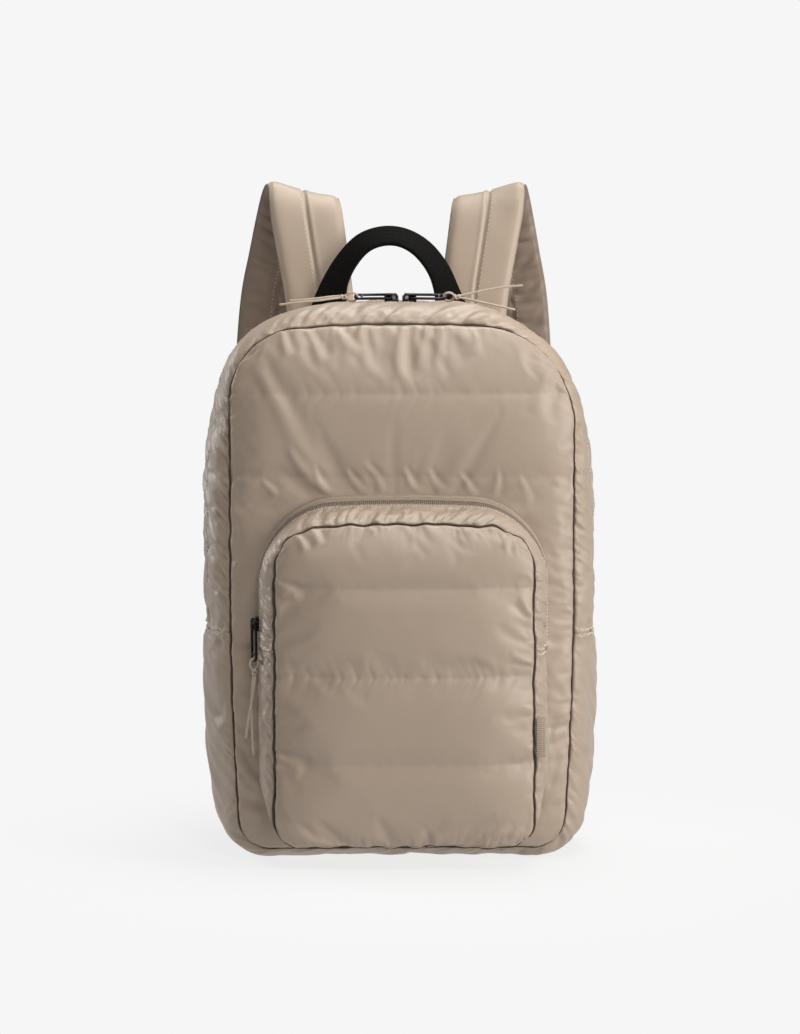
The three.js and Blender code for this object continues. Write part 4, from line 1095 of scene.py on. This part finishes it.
rows = smoothed(handle_stations, 110)
middle = rows[:, :3] * MM
line = np.gradient(middle, axis=0)
line /= np.linalg.norm(line, axis=1, keepdims=True)
lean = np.radians(rows[:, 5])
across = np.stack((line[:, 2] * np.cos(lean), -np.sin(lean), -line[:, 0] * np.cos(lean)), -1)
across, off = band_frames(middle, across)
section = flat_section(36)
wide, thick = rows[:, 3, None, None] * MM, np.maximum(rows[:, 4, None, None], 0.9) * MM
rings = middle[:, None] + across[:, None] * section[None, :, :1] * wide
rings = rings + off[:, None] * section[None, :, 1:] * thick
handle = tube_piece("handle_webbing", rings, 0.06, 0.27)
webbing_finish = Finish("black_webbing", Roughness=0.8, Specular_IOR_Level=0.1)
strands = webbing_finish.node("ShaderNodeTexCoord", output="UV")
lines = webbing_finish.node("ShaderNodeSeparateXYZ", None, {0: strands})
ribs = ((lines * 2600) + (lines.other("Y") * 2600)).math("SINE")
counter = ((lines * 2600) - (lines.other("Y") * 2600)).math("SINE")
dust = webbing_finish.node("ShaderNodeTexNoise", None, {"Vector": strands, "Scale": 300.0, "Detail": 4.0})
webbing_finish.feed("Base Color", webbing_finish.blend(dust, swatch(9, 9, 8), swatch(20, 19, 18)))
webbing_finish.feed("Normal", webbing_finish.node("ShaderNodeBump", None, {
    "Height": ribs * counter, "Strength": 0.45, "Distance": 0.0003}))
handle.data.materials.append(webbing_finish.material)
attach(handle, "root")
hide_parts("carry_handle")

# Shoulder straps: foam between two faces of nylon, sewn along both edges and down the middle. The outer face
# is smooth, and the face towards the wearer puckers where the strap bends.
# Each station: x, y, z in millimetres, the way across as x, y, z, and half the width in millimetres.
strap_stations = [
    (-59.5, on_back(-59.5, 359) + 3.4, 359, -1, 0, 0, 27), (-59.5, 66.6, 386.9, -1, 0, -0.02, 27),
    (-60.7, 68.9, 414.8, -0.998, 0, -0.058, 27), (-63.6, 71.4, 444.5, -0.995, -0.015, -0.099, 27.5),
    (-68.5, 74.7, 475.9, -0.992, -0.033, -0.123, 28.3),
    (-72.6, 78.9, 501.4, -0.989, -0.09, -0.121, 29), (-74.9, 84.8, 514.1, -0.966, -0.257, -0.037, 29),
    (-77.1, 93.2, 519, -0.93, -0.254, 0.268, 29), (-80.2, 103.3, 514.1, -0.968, -0.026, 0.251, 29),
    (-84.6, 114.2, 497.4, -0.986, 0.002, 0.169, 29), (-90.8, 126, 468, -0.99, -0.008, 0.143, 29),
    (-97.8, 137.7, 432.8, -0.994, -0.009, 0.106, 29), (-102.3, 147.4, 380.7, -0.997, -0.005, 0.078, 29),
    (-105.2, 151.5, 318.5, -0.998, -0.001, 0.069, 28.4), (-106.4, 150.1, 267.3, -0.998, 0.003, 0.062, 25.1),
    (-106.8, 147.7, 238, -0.998, 0.005, 0.057, 16),
]
# Each station: x, y, z in millimetres, from the adjuster down to the foot on the back panel.
webbing_stations = [
    (-106.9, 149.9, 235.2), (-107.2, 147.7, 230.7), (-107.4, 140.2, 229.8), (-107.8, 137.2, 223.5),
    (-108, 141.3, 217.2), (-108.4, 138.3, 210.9), (-112.4, 104.7, 148), (-117, on_back(-117, 62) + 1, 62),
    (-117, on_back(-117, 50), 50), (-117, on_back(-117, 38), 38),
]
strap_cloth = nylon("strap_nylon", swatch(180, 163, 144), swatch(168, 150, 132), 0.45, lining=0.0625)
for word, side in (("left", 1), ("right", -1)):
    rows = smoothed(strap_stations, 300)
    middle = rows[:, :3] * MM
    across, off = band_frames(middle, rows[:, 3:6])
    count = 80
    turn = np.linspace(0, 2, count, endpoint=False)
    place = np.where(turn < 1, 2 * turn - 1, 3 - 2 * turn)
    inner = turn < 1
    pad = np.maximum(4 * np.clip(1 - np.abs(place / 0.95) ** 9, 0, 1) ** 0.5,
                     0.9 * (1 - np.abs(place) ** 16) ** 0.5)
    groove = np.exp(-((place / 0.045) ** 2))
    beside = np.exp(-(((place + 0.1) / 0.05) ** 2))
    height = np.where(inner, 1, -1) * (pad - 2 * groove + 0.5 * beside - 0.4) * MM
    run = np.concatenate(([0], np.cumsum(np.linalg.norm(np.diff(middle, axis=0), axis=1))))
    bend = np.exp(-(((run - 0.24) / 0.12) ** 2)) * 0.8 + 0.3
    crease = np.array([[noise.noise((r / 0.012 + 0.6 * p * p, p * 1.1 + (3 if p > 0 else 0), 5 + side))
                        for p in place] for r in run])
    soft = np.array([[noise.noise((r / 0.022, p * 2, 8 + side)) for p in place] for r in run])
    body = (1 - np.abs(place) ** 4) * (1 - 0.8 * groove)
    dent = (0.7 * MM * soft - 2.9 * MM * np.exp(-((crease / 0.2) ** 2))) * bend[:, None] * body[None]
    dent = np.maximum(dent, -0.75 * np.maximum(height, 0)[None])
    relief = np.where(inner[None], dent, -0.25 * MM * soft * body[None])
    wide = rows[:, 6] * MM
    rings = middle[:, None] + across[:, None] * (place[None] * wide[:, None])[..., None]
    rings = rings + off[:, None] * (height[None] + relief)[..., None]
    rings[..., 0] *= side
    strap = tube_piece(word + "_strap_cloth", rings, 0.125, run[-1])
    strap.data.materials.append(strap_cloth)
    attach(strap, "root")
    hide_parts(word + "_strap")
    out = off * (side, 1, 1)
    beside_groove = np.nonzero(np.abs(place - 0.1) < 0.026)[0]
    sewn_rows = [(rings[6:-6, column], out[6:-6] * (1 if inner[column] else -1)) for column in beside_groove]
    stitches(word + "_strap_stitches", sewn_rows, spacing=3.6 * MM, thick=0.25 * MM)
    rows = smoothed(webbing_stations, 140)
    middle = rows * MM
    across, off = band_frames(middle, np.tile((-0.998, 0.024, 0.051), (len(rows), 1)))
    section = flat_section(24)
    rings = middle[:, None] + across[:, None] * section[None, :, :1] * 12.5 * MM
    rings = rings + off[:, None] * section[None, :, 1:] * 0.8 * MM
    rings[..., 0] *= side
    webbing = tube_piece(word + "_strap_webbing", rings, 0.053, 0.22)
    webbing.data.materials.append(webbing_finish.material)
    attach(webbing, "root")
    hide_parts(word + "_webbing")
